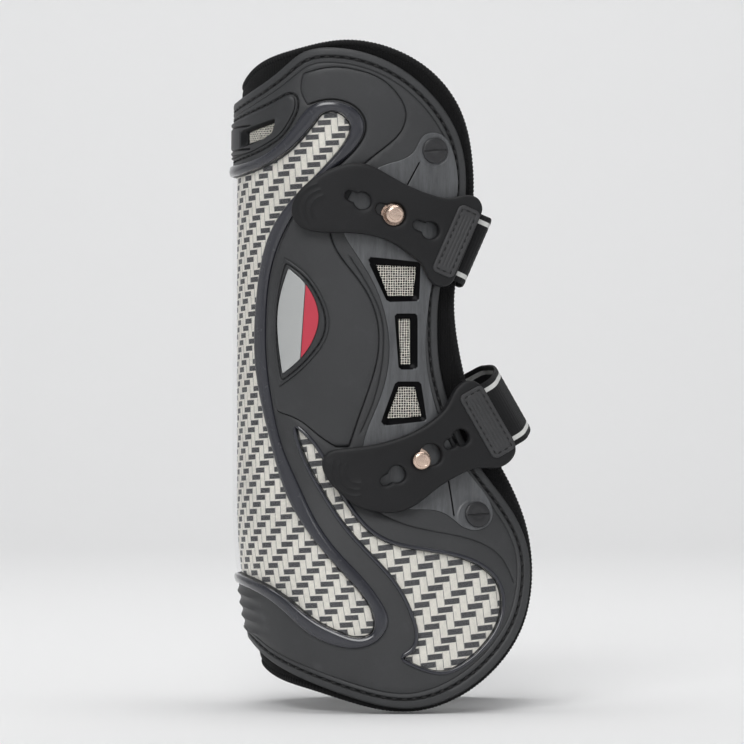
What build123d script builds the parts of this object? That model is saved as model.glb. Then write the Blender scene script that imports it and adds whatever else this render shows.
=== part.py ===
"""Open-front tendon boot for a horse's front leg: a moulded shell on a neoprene liner,
closed by two elastic straps whose rubber tabs hook over metal studs.

Row frame, millimetres: +Z up the leg, +X to the front of the leg, -Y to the outside (lateral),
where the studs are. The origin is on the axis of the channel that holds the leg, at mid height.
Every layer of the boot is an offset d from one base surface, the face where the shell meets
the liner: d is negative in the liner and positive in the shell.
"""

from build123d import *
import math
import os

# ---- Driving dimensions -------------------------------------------------------------------
SIDE_RADIUS = 170.0  # curve of both side walls, seen from above
# Height, back face and back radius of the base surface. The cannon length is a plain half pipe,
# and the wall flares below it round the fetlock.
CANNON_RADIUS = 34.0
LEVELS = [
    (-128, -22.0, 42.0),
    (-110, -26.0, 41.5),
    (-95, -29.2, 41.0),
    (-80, -31.6, 39.5),
    (-66, -33.4, 37.4),
    (-54, -34.0, 35.4),
    (-45, -34.0, CANNON_RADIUS),
    (62, -34.0, CANNON_RADIUS),
    (90, -33.8, 34.8),
    (128, -33.4, 36.0),
]
FRONT_REACH = 84.0  # the raw layers run this far forward before they are trimmed
BEHIND = -70.0  # outlines that wrap round the back are closed here, behind the boot
CLEAR = 0.15  # gap round an inset piece

LINER = (-4.6, -0.2)  # each pair is a layer's inner and outer d
CHANNEL_RADIUS = 29.5  # trued bore of the liner along the cannon
CHANNEL_RELIEF = 0.7  # extra radius above it, where the leg goes in
FOAM = (-2.1, -0.3)
FOAM_POCKET = (-2.2, 0.5)
BINDING_WIDTH = 3.0
SHELL = (0.0, 3.0)
FILM = (1.05, 1.35)
COVER = (1.4, 3.4)
BEZEL = (3.05, 4.4)
LOWER_BEZEL = (3.05, 3.7)
LOWER_BEZEL_WIDTH = 1.4
OVERLAY = (3.05, 4.1)
BADGE = (4.15, 4.6)
MESH = (1.65, 1.9)
BRIDGE = (1.95, 3.4)
COLLAR = (1.25, 3.8)
COLLAR_MESH = (0.9, 1.2)
HEEL_RIB = (2.5, 4.6)
TAB = (5.9, 8.7)
PATCH = (8.75, 9.4)
WEB_THICK, WEB_WIDTH = 1.4, 27.0
WEB_OUTER, WEB_INNER = 5.1, 4.2  # d of the elastic's middle at the tab, and at its anchor
ANCHOR = (5.25, 6.7)
FOLD, FOLD_GAP = 1.5, 1.0  # the elastic folds this far ahead of the tab; gap each side of it

KEYHOLE_BIG, KEYHOLE_SMALL, KEYHOLE_RUN = 4.1, 2.1, 5.0
NECK_RADIUS, HEAD_RADIUS, HEAD_THICK = 1.7, 3.3, 1.9
FLANGE_RADIUS, FLANGE_TOP = 4.6, 4.4
POST_RADIUS, WASHER_RADIUS, WASHER = 2.0, 4.4, (0.05, 0.6)
SCREW_RADIUS, SCREW_TOP, SLOT_WIDTH, SLOT_DEPTH = 4.8, 4.5, 0.8, 0.5

LATERAL, MEDIAL = -1, 1
SIDES = {"lateral": LATERAL, "medial": MEDIAL}

# Each strap: direction in the side view, stud, keyholes' round ends, middle of the tab's front
# edge, rise of the elastic on its way round the front, bend radius and its end heading.
STRAPS = {
    "upper": {
        "angle": -23.5,
        "stud": (23.9, 59.4),
        "holes": [(12.2, 64.4), (23.9, 59.4), (37.3, 53.6)],
        "front": (51.2, 47.6),
        "rise": 0.0,
        "bend": 4.0,
        "heading": 82.0,
        "screw": (38.4, 83.5),
    },
    "lower": {
        "angle": 29.5,
        "stud": (33.7, -31.7),
        "holes": [(25.0, -36.7), (37.4, -29.6), (48.6, -23.3)],
        "front": (62.9, -14.9),
        "rise": 5.5,
        "bend": 5.0,
        "heading": 78.0,
        "screw": (54.0, -52.7),
    },
}

# ---- Outlines in the side view, (x, z) ------------------------------------------------------
LINER_LINE = [
    [(BEHIND, 108), (-34, 109)],
    [(-34, 109), (-31, 113.6), (-14, 121.2), (6.8, 124.7), (23.1, 121.8), (39.3, 112.4),
     (49.1, 99.4), (54, 78), (53.8, 62), (49, 42), (47, 30), (47.2, 20), (48.6, 10),
     (52, -5), (58, -22), (64.9, -34.7), (73.3, -53.2), (76.2, -76.7), (72, -95),
     (61.8, -109.5), (46, -120.6), (30, -124.7), (10, -122), (-10, -116.5),
     (-26.2, -109.5), (-29.5, -103)],
    [(-29.5, -103), (BEHIND, -100)],
]
SHELL_LINE = [
    [(BEHIND, 102.5), (-36, 103)],
    [(-36, 103), (-27, 107.8), (-18, 114), (-10.8, 119.4), (0.3, 121.4), (13.3, 119.5),
     (26.3, 114), (39.3, 103.2), (48, 89.6), (51, 76), (50.2, 62), (44.5, 44), (41.4, 32),
     (40.4, 17), (41.3, 3), (46, -14), (55.5, -33), (68, -50), (74.4, -65), (75, -78),
     (71.5, -93), (61, -108.3), (46.5, -118.8), (30, -123.2), (10, -119.8), (-10, -113),
     (-25, -105.3), (-31.5, -99.5)],
    [(-31.5, -99.5), (BEHIND, -97)],
]
STRIKE_LINE = [
    [(BEHIND, 74.5), (-34, 75)],
    [(-34, 75), (-24, 78.2), (-15.2, 83.4), (-8.5, 90), (-3.2, 96.6)],
    [(-3.2, 96.6), (1, 97.8), (5.5, 96), (7.9, 92), (6.3, 87.2), (0.9, 80.2), (-8, 71.3),
     (-16.8, 61.7), (-22.3, 52), (-26, 37), (-27.6, 20), (-27.5, 5), (-25.5, -9),
     (-21, -28), (-15.7, -44.9), (-8, -58), (2, -70), (12, -81), (16.6, -90.5),
     (15.8, -95.3), (11.5, -97), (3.9, -95.2), (-6, -90.5), (-14, -84.5), (-22.7, -79),
     (-34, -75)],
    [(-34, -75), (BEHIND, -74)],
]
STRIKE_EDGE = [
    [(BEHIND, 78.7), (-34, 79)],
    [(-34, 79), (-26, 81.3), (-19, 85.8), (-13, 92.5), (-7.2, 99.4), (-0.8, 101.5),
     (6.5, 100.2), (11.5, 96.3), (12.8, 91), (9.8, 84.5), (3, 77.5), (-6, 69), (-13.5, 59),
     (-19, 48), (-22.4, 35), (-23.6, 20), (-23.4, 6), (-21.5, -9), (-18, -25),
     (-11, -41.5), (-4.5, -54.5), (4, -66), (12.5, -75), (19, -83.5), (21.8, -91),
     (18.5, -97.5), (11, -100.8), (0.5, -99.5), (-8.5, -95), (-16, -88.5), (-25.5, -81.8),
     (-34, -78.6)],
    [(-34, -78.6), (BEHIND, -78)],
]
LOWER_LINE = [
    [(-12.6, -19.4), (-7.2, -24.5), (-2.5, -31.5), (2.5, -41.5), (8.1, -50.5), (15, -58.2),
     (23, -62.6), (34, -65), (47, -67.5), (56.8, -71.6), (62.2, -77), (64, -84.5),
     (61.8, -93.5), (56.5, -100.8), (49.5, -106.5), (42.5, -109.4), (35.5, -108.4),
     (27, -104.6)],
    [(27, -104.6), (31.5, -101.5), (33, -96), (31.5, -89.5), (28, -81.5), (22, -73),
     (14, -64.5), (6, -55.5), (-2, -43.5), (-7.5, -34), (-11, -25.5), (-12.6, -19.4)],
]
OVERLAY_LINE = [
    [(-9.5, 111.6), (0.3, 113.8), (10.7, 112.7), (19.8, 109.1), (25.7, 103.2), (28.2, 97.4),
     (26.3, 90.2), (21.1, 85), (12.7, 78.2), (5, 69.5), (0.5, 60), (0.3, 52), (2.4, 46.4),
     (9.3, 37), (15.2, 27.6), (17.9, 18.3), (17.9, 8.1), (15.2, -3), (11, -15),
     (7.2, -26.5)],
    [(7.2, -26.5), (2.4, -26.5)],
    [(2.4, -26.5), (-3.5, -22.6), (-11, -16.8), (-19.3, -13.5)],
    [(-19.3, -13.5), (-20.8, -8), (-22.7, 7), (-22.9, 20), (-21.6, 35), (-18.2, 48),
     (-12.8, 59.3), (-5.3, 69.3), (3.7, 77.6), (10.6, 84.6), (13.6, 91), (12.2, 96.8),
     (7, 101), (-0.8, 102.2), (-8, 100.4)],
    [(-8, 100.4), (-10.2, 105), (-9.5, 111.6)],
]
BADGE_LINE = [
    [(-14.8, 39.6), (-8.6, 33.6), (-5.2, 27.6), (-3.9, 20.8), (-5.2, 14.8), (-10.3, 6.3),
     (-17, 0.4)],
    [(-17, 0.4), (-18.3, 10.6), (-18.8, 20.8), (-17.6, 30.3), (-14.8, 39.6)],
]
BADGE_SPLIT = [(-8.6, 50), (-8.6, 33.4), (-10.9, 5.9), (-10.9, -10)]
BRIDGE_LINE = [
    [(7.2, 48.7), (13.4, 39.2), (17.6, 31.2), (20.2, 23.6), (21.9, 14.1), (22, 6.5),
     (20.9, -1), (18.5, -9.1), (15.2, -17.1), (12.8, -24), (12.4, -32), (16.5, -42),
     (24, -48.6), (31, -50), (38, -50.2), (43.5, -52), (48.5, -55.8), (53.7, -57.9),
     (58.4, -56.4), (60.8, -52), (59.4, -46.6), (55.3, -40.7), (48, -31), (42, -19),
     (38.4, -8), (36.3, 2.7), (35.8, 12.2), (36.5, 22), (38, 33), (42, 46), (46.3, 60),
     (47.8, 72), (46.9, 79.5), (44.8, 85.8), (41.8, 89.2), (38, 90), (34.6, 88.6),
     (32.4, 84.8), (29, 81), (22.2, 78.6), (15.5, 75.4), (8.5, 68.5), (5, 60), (4.9, 53.5),
     (7.2, 48.7)],
]
VENTS = [
    [(12.9, 44.4), (34, 42.1), (33.5, 27.2), (21.4, 26.8)],
    [(23.9, 23.0), (33.0, 23.1), (33.0, 1.8), (25.6, 1.8)],
    [(24.4, -2.2), (34.2, -2.2), (36.3, -17.3), (18.2, -19.4)],
]
COLLAR_LINE = [
    [(BEHIND, 95), (-36, 95)],
    [(-36, 95), (-27.4, 98.1), (-21.7, 100.4), (-16.1, 103.2)],
    [(-16.1, 103.2), (-13.4, 103.5), (-12.6, 101), (-14.4, 95.3), (-18, 90), (-22.3, 86.8),
     (-28, 84), (-36, 81.6)],
    [(-36, 81.6), (BEHIND, 81.2)],
]
COLLAR_VENT = [(-33.4, 91.8), (-19.4, 95.8), (-20.8, 90), (-24.6, 87.4), (-33.4, 84.7)]
HEEL_RIB_LINE = [(BEHIND, -84.5), (-30, -85.5), (-17, -92), (-30, -89.2), (BEHIND, -88.6)]
FOAM_LINE = [
    [(BEHIND, 92), (-20, 96), (10, 104), (30, 95), (38, 70), (30, 30), (32, 0), (46, -40),
     (60, -72), (50, -100), (26, -108), (-10, -98), (BEHIND, -86)],
]
TAB_LINES = {
    "upper": [
        [(57, 61.4), (45.5, 33.9)],
        [(45.5, 33.9), (41.1, 32.5), (37.4, 34.8), (34.4, 40.8), (30.6, 44), (25, 48),
         (16.9, 51.2), (5.7, 52.5), (-7.2, 53.3), (-12.2, 55.8), (-14, 61), (-11, 68.3),
         (-4, 73.8), (2.4, 77), (8.9, 78.5), (14.5, 77.8), (21, 74.6), (28.2, 70.6),
         (37.1, 67), (45.1, 65.7), (50.5, 66.9), (55.3, 65.6), (57, 61.4)],
    ],
    "lower": [
        [(68.7, -24.6), (56.9, -4.6)],
        [(56.9, -4.6), (53, -1.9), (49.5, -2.6), (46.6, -5.3), (43.5, -11.3), (39, -16.2),
         (30.8, -21.3), (22.7, -24.3), (11.8, -26.5), (3, -27.4), (-1.3, -29), (-2.8, -33),
         (-1, -38), (3.6, -43.4), (11, -49), (20, -51), (27.5, -50.4), (34.1, -46.7),
         (41, -41.3), (48, -37.2), (55.3, -34.6), (62.4, -34.7), (67, -32.4), (69.3, -28.5),
         (68.7, -24.6)],
    ],
}


# ---- The base surface and its layers --------------------------------------------------------
def ring_section(level, d_in, d_out):
    """Closed U of the layer from d_in to d_out at one height, open to the front."""
    z, back, radius = level
    centre = back + radius

    def wall(d):
        reach = math.asin((FRONT_REACH - centre) / (SIDE_RADIUS + d))
        mid = reach / 2
        side_centre = SIDE_RADIUS - radius

        def at(angle, side):
            return (
                centre + (SIDE_RADIUS + d) * math.sin(angle),
                side * ((SIDE_RADIUS + d) * math.cos(angle) - side_centre),
                z,
            )

        r = radius + d
        return [
            ThreePointArc(at(reach, LATERAL), at(mid, LATERAL), at(0, LATERAL)),
            ThreePointArc(at(0, LATERAL), (centre - r, 0, z), at(0, MEDIAL)),
            ThreePointArc(at(0, MEDIAL), at(mid, MEDIAL), at(reach, MEDIAL)),
        ]

    outer, inner = wall(d_out), wall(d_in)
    ends = [Line(outer[0] @ 0, inner[0] @ 0), Line(outer[2] @ 1, inner[2] @ 1)]
    return make_face([*outer, *inner, *ends])


made_layers = {}


def layer(span):
    """The untrimmed skin between two offsets of the base surface."""
    if span not in made_layers:
        sections = [ring_section(level, *span) for level in LEVELS]
        made_layers[span] = loft(sections, ruled=True)
    return made_layers[span]


def flat(runs):
    """A face in the side view, from runs of points: two make a line, more a spline."""
    edges = [Line(*run) if len(run) == 2 else Spline(*run) for run in runs]
    ends = edges[-1] @ 1 - edges[0] @ 0
    if ends.length > 1e-6:
        edges.append(Line(edges[-1] @ 1, edges[0] @ 0))
    return make_face(edges)


def polygon(points):
    return make_face(Polyline(*points, close=True))


def grown(face, by):
    """The face with its edge moved out, or in when by is negative; curves become splines."""
    edges = []
    for edge in offset(face, by, kind=Kind.ARC).face().outer_wire().order_edges():
        if edge.geom_type not in (GeomType.LINE, GeomType.CIRCLE):
            steps = max(4, round(edge.length / 2))
            points = [edge @ (k / steps) for k in range(steps + 1)]
            edge = Spline(*points, tangents=[edge % 0, edge % 1])
        edges.append(edge)
    return make_face(edges)


def prism(face, side=None):
    """The side view face pushed through one side of the boot, or through both."""
    standing = Plane.XZ * face
    if side is None:
        return extrude(standing, 70, both=True)
    return extrude(standing, 70 if side == LATERAL else -70)


def trimmed(span, face, side=None):
    return layer(span) & prism(face, side)


def wall_plane(x, z, side=LATERAL):
    """Plane on the base surface of the cannon's side wall: local z out, local x forward."""
    angle = math.asin(x / (SIDE_RADIUS + (TAB[0] + TAB[1]) / 2))
    depth = SIDE_RADIUS * math.cos(angle) - (SIDE_RADIUS - CANNON_RADIUS)
    origin = (SIDE_RADIUS * math.sin(angle), side * depth, z)
    forward = (math.cos(angle), -side * math.sin(angle), 0)
    outward = (math.sin(angle), side * math.cos(angle), 0)
    return Plane(origin=origin, x_dir=forward, z_dir=outward)


def disc(radius, low, high):
    return Pos(0, 0, (low + high) / 2) * Cylinder(radius, high - low)


# ---- Liner ----------------------------------------------------------------------------------
def make_liner():
    whole = flat(LINER_LINE)
    core_face = grown(whole, -BINDING_WIDTH)
    channel_top = LEVELS[7][0]
    channel_low = LEVELS[6][0]
    channel = Pos(0, 0, (channel_top + channel_low) / 2) * Cylinder(
        CHANNEL_RADIUS, channel_top - channel_low
    )
    relief_length = LEVELS[-1][0] - channel_top
    relief = Pos(0, 0, channel_top + relief_length / 2) * Cylinder(
        CHANNEL_RADIUS + CHANNEL_RELIEF, relief_length
    )
    core = trimmed(LINER, core_face) - trimmed(FOAM_POCKET, grown(flat(FOAM_LINE), 0.1))
    binding = trimmed(LINER, whole) - prism(core_face)
    return core - channel - relief, binding - relief


# ---- Shell ----------------------------------------------------------------------------------
def fastener_places():
    """Stud planes on the lateral side, and screw planes on both sides."""
    studs = [wall_plane(*strap["stud"]) for strap in STRAPS.values()]
    screws = []
    for side in SIDES.values():
        for strap in STRAPS.values():
            screws.append(screw_plane(*strap["screw"], side))
    return studs, screws


def base_point(x, z, side, d=0.0):
    """Point and outward direction on the layer d, at a side view place ahead of the back arc."""
    lower = max(level for level in LEVELS if level[0] <= z)
    upper = min(level for level in LEVELS if level[0] > z)
    share = (z - lower[0]) / (upper[0] - lower[0])
    back = lower[1] + share * (upper[1] - lower[1])
    radius = lower[2] + share * (upper[2] - lower[2])
    angle = math.asin((x - back - radius) / (SIDE_RADIUS + d))
    y = side * ((SIDE_RADIUS + d) * math.cos(angle) - (SIDE_RADIUS - radius))
    return (x, y, z), (math.sin(angle), side * math.cos(angle), 0)


def screw_plane(x, z, side):
    point, level_normal = base_point(x, z, side)
    forward = Vector(abs(level_normal[1]), -side * level_normal[0], 0)
    up = Vector(*base_point(x, z + 1, side)[0]) - Vector(*base_point(x, z - 1, side)[0])
    return Plane(origin=point, x_dir=forward, z_dir=forward.cross(up) * -side)


def make_shell(studs, screws):
    shell = trimmed(SHELL, flat(SHELL_LINE))
    shell += trimmed(HEEL_RIB, polygon(HEEL_RIB_LINE))
    shell -= trimmed((1.0, 6.0), flat(STRIKE_LINE))
    shell -= trimmed((1.0, 6.0), grown(flat(LOWER_LINE), 0.7))
    shell -= trimmed((1.6, 6.0), grown(flat(BRIDGE_LINE), CLEAR))
    shell -= trimmed((COLLAR_MESH[0] - 0.05, 6.0), grown(flat(COLLAR_LINE), CLEAR))
    for vent in VENTS:
        shell -= prism(polygon(vent))
    shell -= prism(polygon(COLLAR_VENT))
    for plane in studs + screws:
        shell -= plane * disc(POST_RADIUS + 0.1, -1, 4)
        shell -= plane * disc(WASHER_RADIUS + 0.1, -1, WASHER[1] + 0.05)
    return shell


def make_strike_plate():
    """Printed film, clear cover and bead round the tendon at the back of the boot."""
    face = grown(flat(STRIKE_LINE), -2 * CLEAR)
    film = trimmed(FILM, face)
    cover = trimmed(COVER, face)
    bezel = trimmed(BEZEL, flat(STRIKE_EDGE)) - prism(grown(flat(STRIKE_LINE), 0.05))
    return film, cover, bezel


def make_lower_window(side):
    opening = flat(LOWER_LINE)
    film = trimmed(FILM, grown(opening, 0.7 - CLEAR), side)
    cover = trimmed((COVER[0], SHELL[1]), grown(opening, 0.7 - CLEAR), side)
    bezel = trimmed(LOWER_BEZEL, grown(opening, LOWER_BEZEL_WIDTH), side) - prism(opening)
    return film, cover, bezel


def make_badge(side):
    face = flat(BADGE_LINE)
    split = polygon([*BADGE_SPLIT, (30, -10), (30, 50)])
    accent = trimmed(BADGE, face, side) & prism(grown(split, -0.06), side)
    plate = trimmed(BADGE, face, side) - prism(split, side)
    return plate, accent


def make_bridge(side, posts):
    bridge = trimmed(BRIDGE, flat(BRIDGE_LINE), side)
    mesh = trimmed(MESH, grown(flat(BRIDGE_LINE), -2.0), side)
    for vent in VENTS:
        bridge -= prism(polygon(vent))
    for plane in posts:
        hole = plane * disc(POST_RADIUS + 0.1, -1, 5)
        bridge -= hole + plane * disc(SCREW_RADIUS + 0.15, BRIDGE[1] - 0.01, 6)
        mesh -= hole
    return bridge, mesh


def make_collar():
    frame = trimmed(COLLAR, flat(COLLAR_LINE)) - prism(polygon(COLLAR_VENT))
    patches = [trimmed(COLLAR_MESH, grown(polygon(COLLAR_VENT), 1.5), s) for s in SIDES.values()]
    return frame, Compound(children=[p for p in patches])


# ---- Fasteners ------------------------------------------------------------------------------
def make_stud():
    head_low = TAB[1] + 0.35
    post = disc(POST_RADIUS, 0.1, BRIDGE[1] + 0.05)
    flange = disc(FLANGE_RADIUS, BRIDGE[1] + 0.05, FLANGE_TOP)
    neck = disc(NECK_RADIUS, FLANGE_TOP, head_low)
    head = disc(HEAD_RADIUS, head_low, head_low + HEAD_THICK)
    head = fillet(head.edges().filter_by(GeomType.CIRCLE).sort_by(Axis.Z)[-1], 0.8)
    return post + flange + neck + head


def make_screw():
    cap = disc(SCREW_RADIUS, BRIDGE[1] + 0.05, SCREW_TOP)
    slot = Pos(0, 0, SCREW_TOP) * Box(2 * SCREW_RADIUS - 2, SLOT_WIDTH, 2 * SLOT_DEPTH)
    return disc(POST_RADIUS, 0.1, BRIDGE[1] + 0.05) + (cap - slot)


def make_washer():
    return disc(WASHER_RADIUS, *WASHER) - disc(POST_RADIUS + 0.05, -1, 2)


# ---- Straps ---------------------------------------------------------------------------------
def tab_layer(span, face):
    """Tabs lie on a plain cylinder coaxial with the cannon's side wall, so that they can slide."""
    axis_y = SIDE_RADIUS - CANNON_RADIUS
    outer = Pos(0, axis_y, 0) * Cylinder(SIDE_RADIUS + span[1], 300)
    inner = Pos(0, axis_y, 0) * Cylinder(SIDE_RADIUS + span[0], 302)
    return (outer - inner) & prism(face, LATERAL)


def along(strap, u, w):
    """Side view place at u along the strap from the tab's front edge, and w across it."""
    a = math.radians(strap["angle"])
    x0, z0 = strap["front"]
    return x0 + u * math.cos(a) - w * math.sin(a), z0 + u * math.sin(a) + w * math.cos(a)


def keyhole(strap, place):
    """Round end at place, and the narrow end KEYHOLE_RUN towards the back."""
    plane = wall_plane(*place)
    a = strap["angle"]
    turned = plane * Rot(0, 0, a)
    big = Circle(KEYHOLE_BIG)
    small = Pos(-KEYHOLE_RUN, 0) * Circle(KEYHOLE_SMALL)
    throat = Pos(-KEYHOLE_RUN / 2, 0) * Rectangle(KEYHOLE_RUN, 2 * KEYHOLE_SMALL)
    return extrude(turned * (big + small + throat), 14)


def make_tab(name, strap):
    tab = tab_layer(TAB, flat(TAB_LINES[name]))
    for place in strap["holes"]:
        tab -= keyhole(strap, place)
    return tab


def strip(strap, u_low, u_high, width, corner):
    """Rounded rectangle in the side view, across the strap."""
    x, z = along(strap, (u_low + u_high) / 2, 0)
    shape = RectangleRounded(u_high - u_low, width, corner)
    return Pos(x, z) * Rot(0, 0, strap["angle"]) * shape


def wall_at(x, d):
    """Half width of the cannon's side wall at x, and its slope towards the leg."""
    reach = math.sqrt((SIDE_RADIUS + d) ** 2 - x * x)
    return reach - (SIDE_RADIUS - CANNON_RADIUS), x / reach


def web_route(strap):
    """Middle line of the elastic from the tab round the front of the leg to the medial wall:
    rows of u, y, heading, lift across the strap and lean."""
    a = math.radians(strap["angle"])
    x0 = strap["front"][0]
    half_width, slope = wall_at(x0 + FOLD * math.cos(a), WEB_OUTER)
    start = math.degrees(math.atan(slope * math.cos(a)))
    bend, end = strap["bend"], strap["heading"]
    sin, cos = (lambda h: math.sin(math.radians(h))), (lambda h: math.cos(math.radians(h)))
    half = [(FOLD + FOLD_GAP * cos(start), -half_width + FOLD_GAP * sin(start), start)]
    u0, y0, _ = half[0]
    for k in range(1, 5):
        h = start + k / 4 * (end - start)
        half.append((u0 + bend * (sin(h) - sin(start)), y0 + bend * (cos(start) - cos(h)), h))
    u_bend, y_bend, _ = half[-1]
    front = -y_bend / cos(end)
    for k in range(1, 4):
        h = end + k / 3 * (90 - end)
        u = u_bend + front * (sin(h) - sin(end))
        half.append((u, y_bend + front * (cos(end) - cos(h)), h))
    mirrored = [(u, -y, 180 - h) for u, y, h in reversed(half[:-1])]
    front_end = 2 * len(half) - 2
    route = []
    for i, row in enumerate(half + mirrored):
        share = i / front_end
        lift = strap["rise"] * share * share * (3 - 2 * share)
        route.append((*row, lift, slope * (1 - 2 * share)))
    for u in (-2.0, -8.0, -14.0, -20.0):
        d = WEB_INNER + (0.4 if u > -3 else 0.0)
        y, local = wall_at(along(strap, u, strap["rise"])[0], d)
        heading = 180 - math.degrees(math.atan(local * math.cos(a)))
        route.append((u, y, heading, strap["rise"], -local))
    return route


def web_section(strap, u, y, heading, lift, lean):
    """Upright rectangle of the elastic, square to its route and leaning with the side wall."""
    x, z = along(strap, u, lift)
    a = math.radians(strap["angle"])
    h = math.radians(heading)
    ahead = Vector(math.cos(h) * math.cos(a), math.sin(h), math.cos(h) * math.sin(a))
    across = Vector(-math.sin(a), -math.sin(a) * lean, math.cos(a)).normalized()
    ahead = ahead - across * ahead.dot(across)
    plane = Plane(origin=(x, y, z), x_dir=across, z_dir=ahead)
    return plane * Rectangle(WEB_WIDTH, WEB_THICK)


CORNER_END = 5  # sections of the route that make the corner piece


def make_web(strap):
    """The corner piece, which moves with the tab, and the loop round to the anchor."""
    sections = [web_section(strap, *row) for row in web_route(strap)]
    corner = loft(sections[:CORNER_END], ruled=True)
    return corner, loft(sections[CORNER_END:], ruled=True)


def make_web_end(strap):
    """The sewn end of the elastic, under the tab's patch."""
    span = (WEB_OUTER - WEB_THICK / 2, WEB_OUTER + WEB_THICK / 2)
    return tab_layer(span, strip(strap, -9.0, FOLD - FOLD_GAP, WEB_WIDTH, 0.3))


def make_anchor(strap):
    """Rubber patch sewn over the elastic's other end, on the medial wall."""
    rise = strap["rise"]
    a = math.radians(strap["angle"])
    face = strip(strap, -23.0, -5.0, WEB_WIDTH + 5.0, 3.0)
    face = Pos(-rise * math.sin(a), rise * math.cos(a)) * face
    axis_y = SIDE_RADIUS - CANNON_RADIUS
    outer = Pos(0, -axis_y, 0) * Cylinder(SIDE_RADIUS + ANCHOR[1], 300)
    inner = Pos(0, -axis_y, 0) * Cylinder(SIDE_RADIUS + ANCHOR[0], 302)
    return (outer - inner) & prism(face, MEDIAL)


# ---- Build and write ------------------------------------------------------------------------
def build():
    parts = {}
    studs, screws = fastener_places()
    parts["neoprene_liner"], parts["liner_binding"] = make_liner()
    parts["impact_foam"] = trimmed(FOAM, flat(FOAM_LINE))
    parts["outer_shell"] = make_shell(studs, screws)
    film, cover, bezel = make_strike_plate()
    parts["strike_film"], parts["strike_cover"], parts["strike_bezel"] = film, cover, bezel
    for name, side in SIDES.items():
        film, cover, bezel = make_lower_window(side)
        parts[f"lower_film_{name}"] = film
        parts[f"lower_cover_{name}"] = cover
        parts[f"lower_bezel_{name}"] = bezel
        parts[f"overlay_panel_{name}"] = trimmed(OVERLAY, flat(OVERLAY_LINE), side)
        plate, accent = make_badge(side)
        parts[f"badge_plate_{name}"] = plate
        parts[f"badge_accent_{name}"] = accent
        own = [p for p in studs + screws if p.origin.Y * side > 0]
        parts[f"flex_bridge_{name}"], parts[f"vent_mesh_{name}"] = make_bridge(side, own)
    parts["collar_vent_frame"], parts["collar_vent_mesh"] = make_collar()
    parts["strap_studs"] = Compound(children=[plane * make_stud() for plane in studs])
    parts["bridge_screws"] = Compound(children=[plane * make_screw() for plane in screws])
    washers = [plane * make_washer() for plane in studs + screws]
    parts["fastener_washers"] = Compound(children=washers)
    for name, strap in STRAPS.items():
        parts[f"{name}_web_corner"], parts[f"{name}_web_loop"] = make_web(strap)
        parts[f"{name}_web_end"] = make_web_end(strap)
        parts[f"{name}_anchor_patch"] = make_anchor(strap)
        parts[f"{name}_tab"] = make_tab(name, strap)
        parts[f"{name}_tab_patch"] = tab_layer(PATCH, strip(strap, -9.5, -1.0, 27.0, 1.6))
    return parts


os.makedirs("parts", exist_ok=True)
for node, shape in build().items():
    export_step(shape, f"parts/{node}.step")
    print(node, len(shape.solids()), round(sum(s.volume for s in shape.solids())))
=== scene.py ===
"""Looks of the tendon boot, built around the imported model.

Lengths are millimetres until a mesh is made. A point on the boot is (s, z, d): s is the distance
round the shell from the middle of its back, positive towards the studs' side; z is the height;
d is the distance out from the face where the shell meets the liner.
"""

import math

import bpy
import numpy as np
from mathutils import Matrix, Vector
from mathutils.geometry import delaunay_2d_cdt
from mathutils.kdtree import KDTree


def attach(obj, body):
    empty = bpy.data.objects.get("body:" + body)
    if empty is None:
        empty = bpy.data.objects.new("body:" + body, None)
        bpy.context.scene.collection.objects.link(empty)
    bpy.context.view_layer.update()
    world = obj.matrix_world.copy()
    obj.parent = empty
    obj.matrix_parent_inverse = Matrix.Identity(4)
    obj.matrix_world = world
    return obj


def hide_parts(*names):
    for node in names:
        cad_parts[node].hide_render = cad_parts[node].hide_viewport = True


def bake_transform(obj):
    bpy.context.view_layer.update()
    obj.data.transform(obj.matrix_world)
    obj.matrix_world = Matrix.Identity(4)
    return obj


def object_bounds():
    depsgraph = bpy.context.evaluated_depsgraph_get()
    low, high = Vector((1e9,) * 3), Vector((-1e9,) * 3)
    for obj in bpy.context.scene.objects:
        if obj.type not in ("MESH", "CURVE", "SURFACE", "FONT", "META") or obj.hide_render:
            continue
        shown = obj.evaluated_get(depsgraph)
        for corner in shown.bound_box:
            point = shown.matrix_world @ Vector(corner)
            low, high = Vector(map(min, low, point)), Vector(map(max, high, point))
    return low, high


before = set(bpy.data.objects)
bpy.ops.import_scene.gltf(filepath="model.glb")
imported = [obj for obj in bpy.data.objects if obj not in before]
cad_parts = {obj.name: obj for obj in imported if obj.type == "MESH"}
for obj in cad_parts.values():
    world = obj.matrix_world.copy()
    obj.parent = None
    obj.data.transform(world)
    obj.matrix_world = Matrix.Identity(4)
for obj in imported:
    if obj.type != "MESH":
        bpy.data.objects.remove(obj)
CAD_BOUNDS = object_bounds()
MM = 0.001

# ---- The base surface, as in the CAD --------------------------------------------------------
SIDE_RADIUS = 170.0
CANNON_RADIUS = 34.0
LEVELS = [
    (-128, -22.0, 42.0), (-110, -26.0, 41.5), (-95, -29.2, 41.0), (-80, -31.6, 39.5),
    (-66, -33.4, 37.4), (-54, -34.0, 35.4), (-45, -34.0, 34.0), (62, -34.0, 34.0),
    (90, -33.8, 34.8), (128, -33.4, 36.0),
]
BEHIND = -70.0
SHELL_D = 3.0  # s is measured on this layer
LEVEL_SOFTNESS = 5.0  # the levels are blended over about this height

TAB_LOW, TAB_TOP = 5.9, 8.7
WEB_THICK, WEB_WIDTH, WEB_OUTER, WEB_INNER = 1.4, 27.0, 5.1, 4.2
FOLD = 1.5
KEYHOLE_BIG, KEYHOLE_SMALL, KEYHOLE_RUN, KEYHOLE_FREE = 4.1, 2.1, 5.0, (3.15, 1.75)
LATERAL, MEDIAL = 1, -1
SIDES = {"lateral": LATERAL, "medial": MEDIAL}

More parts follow.
